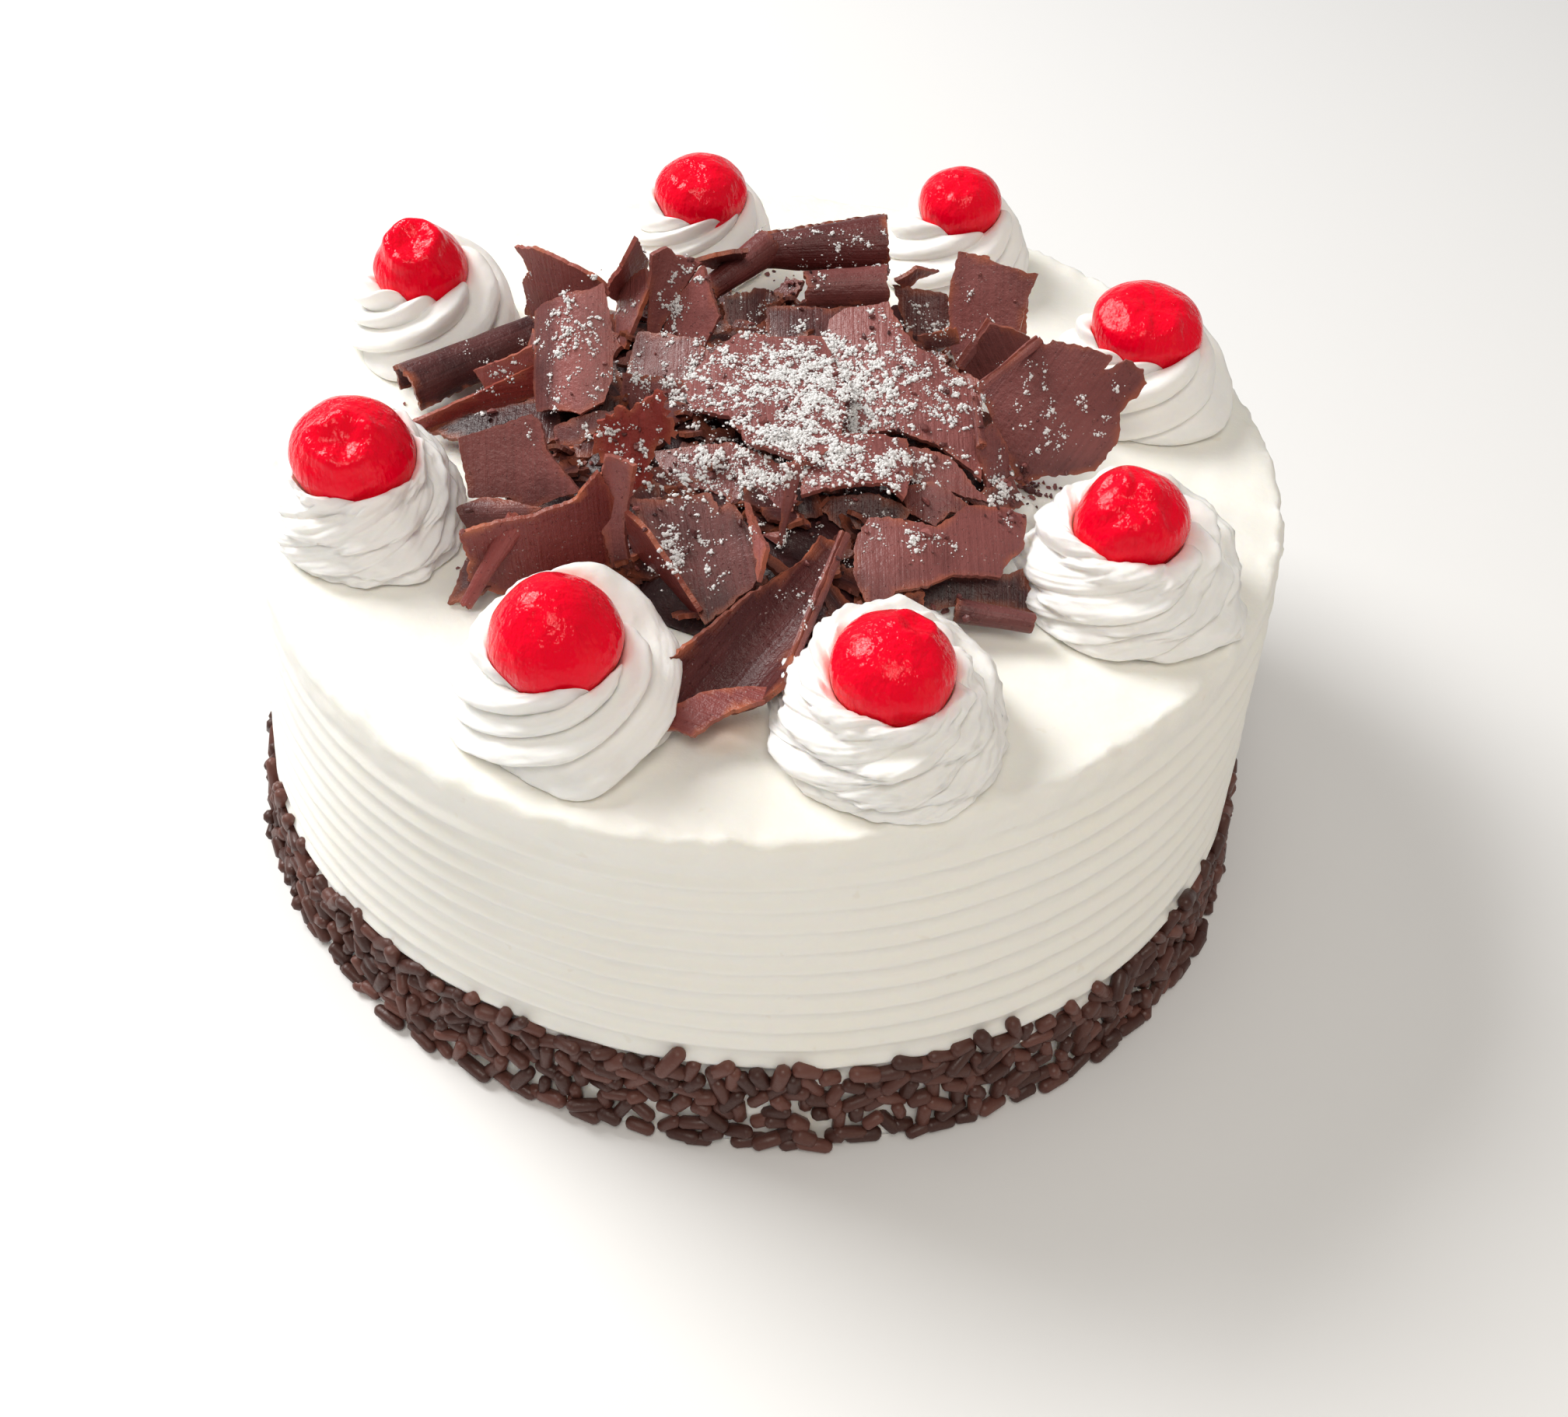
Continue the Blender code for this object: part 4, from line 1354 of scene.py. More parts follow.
SHARDS = (
    Shard(
        "back_left_upright",
        (
            (662, 316, 24), (687, 314), (707, 319), (745, 340), (774, 363, 24), (782, 380), (770, 402),
            (675, 404, 6), (678, 385), (672, 362), (683, 346), (676, 330),
        ),
        bend=1.5, tone=1.25, jag=0.4, red=0.8, backlit_glow=0.25,
    ),
    Shard(
        "back_curl_panel",
        (
            (688, 400, 20), (767, 378), (780, 366, 27), (786, 400), (791, 448), (788, 490), (780, 518),
            (757, 538, 11), (742, 534), (694, 531), (686, 500), (688, 454),
        ),
        bend=3.2, tone=0.9, jag=0.25, red=0.5, painted_shade_side=0.5,
    ),
    Shard(
        "back_spike",
        (
            (783, 362), (800, 330, 24), (818, 304, 28), (833, 335), (831, 350), (822, 385), (797, 392, 8),
            (780, 380),
        ),
        bend=0.8, tone=1.1, jag=0.3, red=0.7, backlit_glow=0.25,
    ),
    Shard(
        "back_spike_low",
        ((800, 372), (831, 345, 21), (835, 368), (824, 400), (808, 450, 8), (790, 440), (793, 400, 10)),
        bend=0.8, tone=0.7, jag=0.3, red=0.9,
    ),
    Shard(
        "back_gloss_trough",
        (
            (835, 326, 26), (857, 320), (870, 332), (904, 338, 24), (879, 378), (846, 436, 10),
            (832, 430), (833, 380),
        ),
        bend=-2.2, turn=-20, tone=0.7, jag=0.25, red=0.4,
    ),
    Shard(
        "back_triangle",
        ((904, 342, 24), (914, 375), (925, 406, 18), (908, 447, 12), (847, 431), (872, 390)), bend=0.8,
        tone=0.9, red=0.5,
    ),
    Shard(
        "back_jag", ((892, 333, 22), (936, 325), (962, 319, 24), (955, 333), (930, 348), (914, 345, 16)),
        bend=0.6, tone=0.4, jag=0.4, red=0.9,
    ),
    Shard(
        "back_dark_left", ((930, 380, 15), (985, 372, 15), (990, 420), (962, 455), (930, 440, 9)),
        bend=0.8, tone=0.25, jag=0.6, red=0.5,
    ),
    Shard(
        "back_hollow_panel",
        ((985, 395, 14), (1060, 400), (1110, 395, 15), (1080, 420), (1050, 450, 11), (985, 440)),
        bend=1.0, tone=0.3, jag=0.4, red=0.5,
    ),
    Shard(
        "back_dark_panel", ((1147, 365, 15), (1217, 378, 15), (1223, 409), (1200, 445, 7), (1165, 425)),
        bend=0.6, tone=0.3, jag=0.4, red=0.6,
    ),
    Shard(
        "back_red_jag", ((1150, 362, 17), (1178, 342), (1206, 350, 17), (1180, 356), (1165, 372, 14)),
        bend=0.5, tone=0.55, jag=0.3, red=0.9,
    ),
    Shard(
        "back_red_bit", ((1180, 432, 16), (1230, 420, 17), (1232, 438), (1190, 452, 12)), turn=90,
        tone=0.45, jag=0.4, red=0.9,
    ),
    Shard(
        "back_right_panel",
        (
            (1233, 323, 26), (1262, 328), (1284, 338), (1310, 345), (1335, 352, 26), (1322, 388),
            (1312, 425), (1280, 440), (1238, 480, 7), (1222, 450), (1219, 403), (1222, 370),
        ),
        tone=0.7, jag=0.3, red=0.7,
    ),
    Shard(
        "back_right_red_bit", ((1300, 395, 10), (1322, 384, 12), (1320, 428), (1308, 436, 4)), bend=0.5,
        tone=0.9, jag=0.5, red=0.9,
    ),
    Shard(
        "right_small_panel",
        ((1274, 413, 24), (1300, 420), (1325, 434, 22), (1319, 454), (1261, 496, 11), (1228, 478)),
        bend=1.5, turn=30, curls=(1.5, 0), tone=0.6, jag=0.3, red=0.6,
    ),
    Shard(
        "right_fan_panel",
        (
            (1258, 500), (1290, 470), (1335, 434, 27), (1345, 442), (1354, 435), (1390, 442), (1431, 457),
            (1418, 474), (1427, 474), (1448, 461), (1472, 474, 25), (1475, 492), (1440, 530), (1437, 569),
            (1408, 606), (1376, 608), (1344, 610), (1312, 622, 4), (1293, 585), (1272, 530),
        ),
        bend=2.2, turn=-35, tone=0.62, jag=0.4, red=0.65,
    ),
    Shard(
        "right_narrow_panel",
        (
            (1255, 560), (1272, 545, 18), (1290, 575), (1300, 640, 5), (1285, 672), (1268, 668),
            (1262, 610, 12),
        ),
        tone=0.6, jag=0.25, red=0.5,
    ),
    Shard(
        "centre_top_panel",
        (
            (1066, 412, 21), (1085, 402), (1143, 396), (1155, 420), (1175, 452), (1242, 487, 19),
            (1252, 520), (1262, 618, 12), (1240, 600), (1205, 578), (1179, 570), (1150, 559), (1110, 564),
            (1077, 568), (1060, 520),
        ),
        bend=2.0, red=0.35,
    ),
    Shard(
        "centre_left_panel",
        (
            (952, 432, 18), (1000, 440), (1057, 436, 19), (1090, 500), (1080, 570), (1045, 600),
            (1006, 590, 17), (960, 575), (937, 540), (888, 527), (879, 489),
        ),
        tone=0.7, jag=0.4, red=0.3,
    ),
    Shard(
        "centre_dark_left", ((822, 430, 14), (895, 439, 16), (935, 470), (890, 505), (800, 495, 9)),
        bend=1.5, tone=0.55, jag=0.4, red=0.5,
    ),
    Shard(
        "centre_low_left",
        ((800, 480, 13), (880, 490), (945, 520, 14), (938, 555), (860, 540), (795, 530, 8)), bend=1.0,
        tone=0.5, jag=0.5, red=0.5,
    ),
    Shard(
        "stack_upper",
        (
            (1105, 582, 15), (1179, 578), (1220, 590, 15), (1276, 648), (1240, 642), (1200, 628, 12),
            (1150, 615),
        ),
        red=0.4,
    ),
    Shard(
        "stack_middle",
        (
            (1030, 572, 17), (1100, 565), (1166, 566, 17), (1175, 610), (1162, 645), (1140, 628),
            (1080, 632), (1029, 637, 15),
        ),
        bend=1.6, red=0.45,
    ),
    Shard(
        "stack_lower",
        (
            (1150, 628, 12), (1200, 622), (1246, 650, 12), (1238, 665), (1223, 661), (1204, 681, 9),
            (1172, 664),
        ),
        bend=1.6, tone=0.65, jag=0.4, red=0.5,
    ),
    Shard(
        "stack_under", ((1040, 640, 11), (1130, 636), (1170, 655, 11), (1150, 690), (1080, 680, 8)),
        bend=0.8, tone=0.25, jag=0.4, red=0.6,
    ),
    Shard(
        "ruffled_red",
        (
            (770, 560), (775, 540, 21), (800, 522), (830, 512), (852, 502, 26), (858, 525), (866, 550),
            (870, 566), (846, 572), (838, 600), (830, 645, 8), (800, 640), (785, 600), (762, 585),
            (764, 570),
        ),
        bend=1.0, tone=0.5, jag=1.2, red=0.7, wave=0.8, backlit_glow=0.75, ribs=0.5,
    ),
    Shard(
        "left_matte_panel",
        (
            (589, 563, 16), (640, 546), (681, 532, 20), (694, 545), (700, 577), (718, 600),
            (745, 632, 10), (705, 645), (678, 657), (652, 640), (602, 640), (595, 600),
        ),
        bend=-1.8, jag=0.3, red=0.4,
    ),
    Shard(
        "left_low_roll_lip",
        ((590, 655, 7), (620, 640), (640, 640, 9), (700, 655), (680, 668), (600, 680, 5)), bend=1.6,
        turn=90, tone=0.55, jag=0.3, red=0.5,
    ),
    Shard(
        "left_plank",
        ((515, 548, 4), (600, 508), (686, 470, 13), (707, 480), (706, 496), (640, 526), (545, 556, 2)),
        bend=1.0, turn=90, tone=0.3, jag=0.2, red=0.5, backlit_glow=0.65,
    ),
    Shard(
        "left_pink_panel", ((608, 476, 10), (684, 445, 16), (690, 472), (650, 490), (624, 497, 7)),
        bend=0.8, tone=1.5, jag=0.3, red=0.8, backlit_glow=0.3,
    ),
    Shard(
        "left_under_dark",
        ((545, 552, 3), (640, 530), (720, 505, 9), (720, 560), (690, 580), (600, 572, 4)), bend=1.0,
        tone=0.2, jag=0.4, red=0.5,
    ),
    Shard(
        "left_small_dark",
        ((713, 548, 10), (767, 530), (800, 528, 13), (780, 551), (740, 575), (716, 572, 8)), bend=0.8,
        tone=0.45, jag=0.4, red=0.5,
    ),
    Shard(
        "left_small_red", ((710, 587, 7), (740, 572), (775, 560, 10), (775, 580), (713, 600, 5)),
        bend=0.4, tone=0.4, jag=0.3, red=1.0,
    ),
    Shard(
        "second_level",
        (
            (838, 580, 13), (943, 574, 15), (1035, 612), (1020, 658), (1000, 668, 11), (930, 640),
            (860, 622),
        ),
        tone=0.6, jag=0.4, red=0.35,
    ),
    Shard(
        "second_left", ((800, 610, 10), (850, 600), (900, 640, 11), (880, 665), (800, 650, 6)), bend=1.0,
        tone=0.4, jag=0.4, red=0.5,
    ),
    Shard(
        "front_sweep",
        (
            (589, 684, 15), (640, 666), (690, 655), (735, 640, 20), (770, 605), (790, 640), (780, 740, 3),
            (700, 760), (640, 760), (600, 748), (604, 720),
        ),
        bend=1.5, tone=0.2, red=1.0, backlit_glow=0.42,
    ),
    Shard(
        "front_sweep_tail", ((603, 715, 5), (640, 705), (660, 730, 5), (620, 765), (575, 776, 1)),
        bend=0.6, tone=0.7, red=0.8,
    ),
    Shard(
        "front_tall_blade",
        (
            (776, 592, 27), (795, 600), (813, 600, 27), (806, 640), (799, 691), (807, 741, 5), (784, 733),
            (772, 679), (770, 630),
        ),
        bend=-1.3, tone=0.9, jag=0.25, red=0.7,
    ),
    Shard(
        "front_blade_lip", ((745, 650, 18), (775, 605, 24), (782, 640), (765, 690, 12), (742, 690)),
        bend=-1.2, turn=30, tone=0.5, jag=0.3, red=0.9, backlit_glow=0.45,
    ),
    Shard(
        "front_red_blade",
        (
            (802, 659, 18), (815, 672), (831, 688), (863, 730, 14), (903, 784, 9), (892, 811), (870, 792),
            (847, 758), (812, 695),
        ),
        bend=-1.0, turn=40, tone=0.6, jag=0.2, red=0.8, backlit_glow=0.45,
    ),
    Shard(
        "front_dusty_panel",
        (
            (805, 640, 18), (850, 640), (888, 634), (908, 629), (916, 640), (927, 650, 18), (936, 632),
            (950, 655), (971, 691), (976, 742), (940, 775), (905, 800, 8), (870, 735), (830, 680),
        ),
        bend=-1.5, turn=10, tone=0.4, jag=0.4, red=0.45,
    ),
    Shard(
        "front_sliver",
        ((957, 645, 18), (968, 668), (978, 691, 18), (984, 705), (975, 748, 14), (970, 700)), bend=0.3,
        tone=0.9, jag=0.5, red=0.8,
    ),
    Shard(
        "front_trough",
        (
            (1038, 706, 18), (1060, 675), (1092, 684, 19), (1068, 740), (1045, 790), (1019, 840),
            (1005, 885, 8), (975, 905), (900, 905), (861, 900), (862, 845), (898, 816), (960, 762),
        ),
        bend=-5.0, turn=-38, curls=(0, 3.5), tone=0.1, jag=0.25, red=0.9, backlit_glow=0.15,
    ),
    Shard(
        "front_lip",
        (
            (862, 915), (900, 897, 6), (960, 885), (1003, 884, 8), (985, 905), (930, 925), (892, 948, 5),
            (870, 940), (845, 938),
        ),
        turn=60, tone=0.95, red=1.0, backlit_glow=0.3,
    ),
    Shard(
        "right_front_panel",
        (
            (1102, 690), (1118, 664, 14), (1160, 672), (1200, 684), (1242, 655), (1290, 655),
            (1320, 664, 11), (1316, 707), (1293, 730), (1284, 747), (1223, 744), (1191, 759), (1150, 762),
            (1137, 775), (1121, 789, 8), (1110, 765), (1099, 733),
        ),
        bend=1.6, curls=(-1.2, 0), tone=0.68, red=0.6,
    ),
    Shard(
        "right_front_dark",
        ((1150, 748, 5), (1287, 738, 6), (1318, 730), (1330, 788, 2), (1240, 776), (1180, 790)), bend=0.8,
        tone=0.25, jag=0.4, red=0.5,
    ),
    Shard(
        "front_red_bit", ((1138, 765, 7), (1188, 762, 7), (1188, 789), (1168, 800), (1150, 790, 3)),
        bend=0.6, tone=0.45, jag=0.6, red=1.0,
    ),
    Shard(
        "right_wedge", ((1242, 640, 9), (1300, 610), (1318, 650, 7), (1270, 668, 6)), bend=0.8, tone=0.4,
        jag=0.5, red=0.6,
    ),
    Shard(
        "behind_fan", ((1235, 476, 14), (1262, 492), (1262, 540, 13), (1245, 545, 12)), bend=0.4,
        tone=0.8, jag=0.3, red=0.6,
    ),
    Shard(
        "left_shadow_bit", ((677, 418, 10), (694, 428), (694, 470, 10), (680, 470, 8)), bend=0.3,
        tone=0.6, jag=0.4, red=0.9,
    ),
)

CURLS = (
    Curl(
        "back_scroll", (972, 322, 18), (1140, 313, 20), radii=(4.2, 7.0), wrap=560.0, opening=250.0,
        spiral=1.8, tone=0.12, jag=0.6, red=0.6, backlit_glow=0.2,
    ),
    Curl(
        "back_thin_roll", (912, 372, 15), (990, 316, 19), radii=(2.7, 4.0), wrap=320.0, opening=250.0,
        tone=0.3, red=0.6, backlit_glow=0.2,
    ),
    Curl(
        "back_ring_curl", (1036, 372, 16), (1140, 368, 17), radii=(4.0, 4.8), wrap=290.0, opening=300.0,
        spiral=0.6, tone=0.45, backlit_glow=0.1,
    ),
    Curl(
        "left_half_tube", (524, 502, 6), (690, 432, 8), radii=(5.4, 4.4), wrap=230.0, opening=275.0,
        tone=0.16, jag=0.6, red=0.9, backlit_glow=0.05,
    ),
    Curl(
        "front_cigar", (668, 667, 16), (600, 778, 4), radii=(2.6, 1.7), wrap=500.0, spiral=0.9, jag=0.4,
        red=0.6, backlit_glow=0.4,
    ),
    Curl(
        "right_front_log", (1228, 784, 5), (1328, 802, 4), radii=(2.6, 2.2), wrap=320.0, opening=270.0,
        tone=0.4, jag=0.4,
    ),
    Curl(
        "right_thin_roll", (1252, 512, 21), (1262, 574, 17), radii=(1.3, 1.6), wrap=420.0, spiral=0.4,
        jag=0.3, red=0.6,
    ),
    Curl(
        "right_fan_roll", (1255, 502, 22), (1336, 437, 27), radii=(1.3, 1.4), wrap=330.0, tone=0.75,
        jag=0.3,
    ),
    Curl(
        "small_panel_roll", (1233, 472, 15), (1277, 415, 23), radii=(1.5, 1.8), wrap=330.0, tone=0.8,
        jag=0.3,
    ),
    Curl(
        "standing_stick", (1018, 598, 21), (1003, 700, 10), radii=(2.4, 1.0), wrap=400.0, spiral=0.6,
        tone=0.7, red=0.6,
    ),
    Curl("trough_ridge", (1086, 686, 18), (1008, 878, 7), radii=(1.5, 1.4), wrap=330.0, jag=0.3),
)


@dataclass
class Heap:
    """The chocolate in the middle: a low core, small scraps, the shards and curls that show, and crumbs."""

    core_centre: tuple[float, float] = (-2.0, -4.0)
    core_half: tuple[float, float] = (42.0, 48.0)
    core_lumps: Rough = Rough(1.8, 7.0)
    core_flecks: Rough = Rough(1.3, 2.6)
    core_height: float = 12.0
    gap: float = 0.3
    scraps: int = 330
    back_scraps: int = 90
    seed: int = 3

    def core_point(self, direction: Vector) -> Vector:
        """Return the core's skin in mm in one direction of a unit ball.

        Args:
            direction: a direction of the unit ball.

        Returns:
            The point in mm from the part's origin.
        """
        angle = math.atan2(direction.y, direction.x)
        waves = 0.6 * math.sin(3 * angle + 1.0) + math.sin(5 * angle + 2.0) * 0.7
        swell = 1.0 + 0.05 * waves
        rise = math.copysign(abs(direction.z) ** 1.15, direction.z)
        x = self.core_centre[0] + direction.x * self.core_half[0] * swell
        y = self.core_centre[1] + direction.y * self.core_half[1] * swell
        at = Vector((x, y, max(self.gap, rise * self.core_height)))
        rough = self.core_lumps.at(*at) + self.core_flecks.at(*at)
        if at.z > 0.4:
            at.z = max(self.gap, at.z + rough)
        return at + Vector((0, 0, CAKE_HEIGHT))

    def build_core(self, finish: bpy.types.Material) -> bpy.types.Object:
        """Build the rough low core and return the piece.

        Args:
            finish: the chocolate's material.

        Returns:
            The piece.
        """
        bm = bmesh.new()
        bmesh.ops.create_uvsphere(bm, u_segments=110, v_segments=60, radius=1.0)
        tone = bm.verts.layers.float.new("tone")
        for layer in ("thin", "backlit_glow"):
            bm.verts.layers.float.new(layer)
        for vert in bm.verts:
            vert.co = self.core_point(vert.co) * MM
            # painted shade: the core is near black, for the dark gaps between the shards
            vert[tone] = 0.06
        piece = keep_piece("heap_core", bm, finish)
        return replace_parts(piece, "chocolate_heap")

    def build_scraps(self, finish: bpy.types.Material) -> bpy.types.Object:
        """Strew small shards over the core by a seeded rule and return the piece.

        Args:
            finish: the chocolate's material.

        Returns:
            The piece.
        """
        draw = random.Random(self.seed)
        mesh = ChocolateMesh(cell=1.8)
        for index in range(self.scraps + self.back_scraps):
            behind = index >= self.scraps
            turns = (math.radians(25), math.radians(165)) if behind else (0, math.tau)
            angle = draw.uniform(*turns)
            reach = draw.uniform(0.80, 1.08) if behind else 1.02 * math.sqrt(draw.random())
            flat = min(0.995, reach * 0.98)
            x, y = math.cos(angle), math.sin(angle)
            at = self.core_point(Vector((flat * x, flat * y, math.sqrt(1 - flat * flat))))
            past = max(0.0, reach - 0.95)
            at += Vector((x, y, 0)) * past * self.core_half[0]
            at.z += draw.uniform(0.4, 2.2)
            lean = draw.uniform(5.0, 50.0) * (0.5 + 0.5 * reach)
            size = draw.uniform(6.5, 12.0) if behind else draw.uniform(4.5, 10.0)
            lowest = CAKE_HEIGHT + 0.6 + 0.5 * size * math.sin(math.radians(lean))
            at.z = max(at.z, min(lowest, CAKE_HEIGHT + 7.0))
            place = (
                Matrix.Translation(at)
                @ Matrix.Rotation(draw.uniform(0, math.tau), 4, "Z")
                @ Matrix.Rotation(math.radians(lean), 4, "X")
            )
            # painted shade: scraps inside the heap are darker than those behind it, for the dark gaps between
            # the shards
            shade = draw.uniform(0.15, 0.7) if behind else draw.uniform(0.0, 0.3)
            width, bend = size * draw.uniform(0.45, 0.9), draw.uniform(-1.5, 1.5)
            mesh.add_scrap(place, width, size, bend, shade, 3.1 * index)
        return mesh.finish("chocolate_scraps", finish)

    def build_shards(self, finish: bpy.types.Material) -> bpy.types.Object:
        """Build the shards that show and return the piece.

        Args:
            finish: the chocolate's material.

        Returns:
            The piece.
        """
        mesh = ChocolateMesh()
        for spec in SHARDS:
            mesh.add_shard(spec)
        return mesh.finish("chocolate_shards", finish)

    def build_curls(self, finish: bpy.types.Material) -> bpy.types.Object:
        """Build the rolled curls and return the piece.

        Args:
            finish: the chocolate's material.

        Returns:
            The piece.
        """
        mesh = ChocolateMesh(cell=1.1)
        for spec in CURLS:
            mesh.add_curl(spec)
        return mesh.finish("chocolate_curls", finish)

    def build_crumbs(self, catcher: "Catcher", finish: bpy.types.Material) -> bpy.types.Object:
        """Drop small crumbs of chocolate on the heap and round it, and return the piece.

        Args:
            catcher: what the crumbs fall on.
            finish: the chocolate's material.

        Returns:
            The piece.
        """
        draw = random.Random(self.seed + 40)
        shape = bmesh.new()
        bmesh.ops.create_icosphere(shape, subdivisions=1, radius=1.0)
        for vert in shape.verts:
            vert.co *= draw.uniform(0.7, 1.3)
        bits = Strewn(shape)
        for patch in CRUMBS:
            for _ in range(patch.clumps):
                px = patch.x + patch.half_x * draw.gauss(0, 0.5)
                py = patch.y + patch.half_y * draw.gauss(0, 0.5)
                at, normal = catcher.from_camera(px, py)
                if at is None or normal is None or normal.z < 0.15:
                    continue
                size = draw.uniform(0.22, 0.62) * (1.0 + 0.8 * draw.random() ** 4)
                heading, tilt = draw.uniform(0, math.tau), draw.uniform(0, 3)
                turn = Matrix.Rotation(heading, 4, "Z") @ Matrix.Rotation(tilt, 4, "X")
                length, width = size * draw.uniform(0.9, 1.7), size * draw.uniform(0.6, 1.0)
                scale = Matrix.Diagonal((length, width, 0.7 * size, 1.0))
                place = Matrix.Translation(at / MM + normal * 0.45 * size) @ turn @ scale
                bits.add(place, draw.uniform(0.1, 0.9))
        return bits.finish("chocolate_crumbs", finish, Slot.CHOCOLATE)


@dataclass
class Catcher:
    """Finds what a ray from the camera or from above meets first among finished pieces."""

    pieces: Sequence[bpy.types.Object]

    def __post_init__(self) -> None:
        """Build one search tree over the pieces' faces."""
        verts: list[Vector] = []
        faces: list[tuple[int, ...]] = []
        for piece in self.pieces:
            start = len(verts)
            verts += [vert.co.copy() for vert in piece.data.vertices]
            faces += [tuple(start + i for i in face.vertices) for face in piece.data.polygons]
        self.tree = BVHTree.FromPolygons(verts, faces)

    def from_camera(self, px: float, py: float) -> tuple[Optional[Vector], Optional[Vector]]:
        """Return the point in metres and the normal that a pixel shows."""
        hit = self.tree.ray_cast(Vector(VIEW.spot) * MM, VIEW.ray(px, py))
        return hit[0], hit[1]

    def from_above(self, x: float, y: float) -> tuple[Optional[Vector], Optional[Vector]]:
        """Return the highest point in metres over a spot in mm, and its normal."""
        hit = self.tree.ray_cast(Vector((x * MM, y * MM, 0.2)), Vector((0, 0, -1)))
        return hit[0], hit[1]


@dataclass(frozen=True)
class Dusting:
    """A patch of sugar or crumbs in the photograph: middle and half sizes in pixels, and what lies there."""

    x: float
    y: float
    half_x: float
    half_y: float
    clumps: int
    grains: int = 1


DUSTINGS = (
    Dusting(1085, 500, 105, 75, clumps=150, grains=11),
    Dusting(1000, 470, 70, 50, clumps=70, grains=9),
    Dusting(1010, 560, 75, 60, clumps=90, grains=9),
    Dusting(1110, 600, 95, 35, clumps=60, grains=8),
    Dusting(900, 500, 70, 45, clumps=45, grains=6),
    Dusting(880, 600, 50, 25, clumps=22, grains=8),
    Dusting(975, 610, 60, 30, clumps=40, grains=7),
    Dusting(730, 430, 35, 60, clumps=30, grains=4),
    Dusting(860, 390, 50, 40, clumps=22, grains=5),
    Dusting(780, 555, 28, 14, clumps=8, grains=7),
    Dusting(1085, 305, 40, 15, clumps=4, grains=2),
    Dusting(1190, 440, 40, 30, clumps=18, grains=3),
    Dusting(1210, 510, 45, 50, clumps=30, grains=4),
    Dusting(890, 690, 60, 60, clumps=30, grains=3),
    Dusting(1180, 690, 50, 20, clumps=10, grains=4),
    Dusting(1060, 780, 60, 90, clumps=16, grains=2),
    Dusting(1350, 520, 80, 80, clumps=18, grains=2),
    Dusting(1290, 640, 30, 40, clumps=10, grains=6),
    Dusting(1000, 520, 330, 190, clumps=160, grains=2),
    Dusting(650, 470, 60, 40, clumps=12, grains=2),
)


CRUMBS = (
    Dusting(1000, 560, 330, 220, clumps=150),
    Dusting(1325, 628, 34, 26, clumps=42),
    Dusting(1290, 655, 30, 30, clumps=16),
    Dusting(840, 905, 50, 16, clumps=9),
    Dusting(620, 520, 60, 30, clumps=12),
    Dusting(1180, 790, 70, 20, clumps=12),
    Dusting(600, 700, 30, 40, clumps=8),
    Dusting(1010, 365, 40, 30, clumps=20),
)


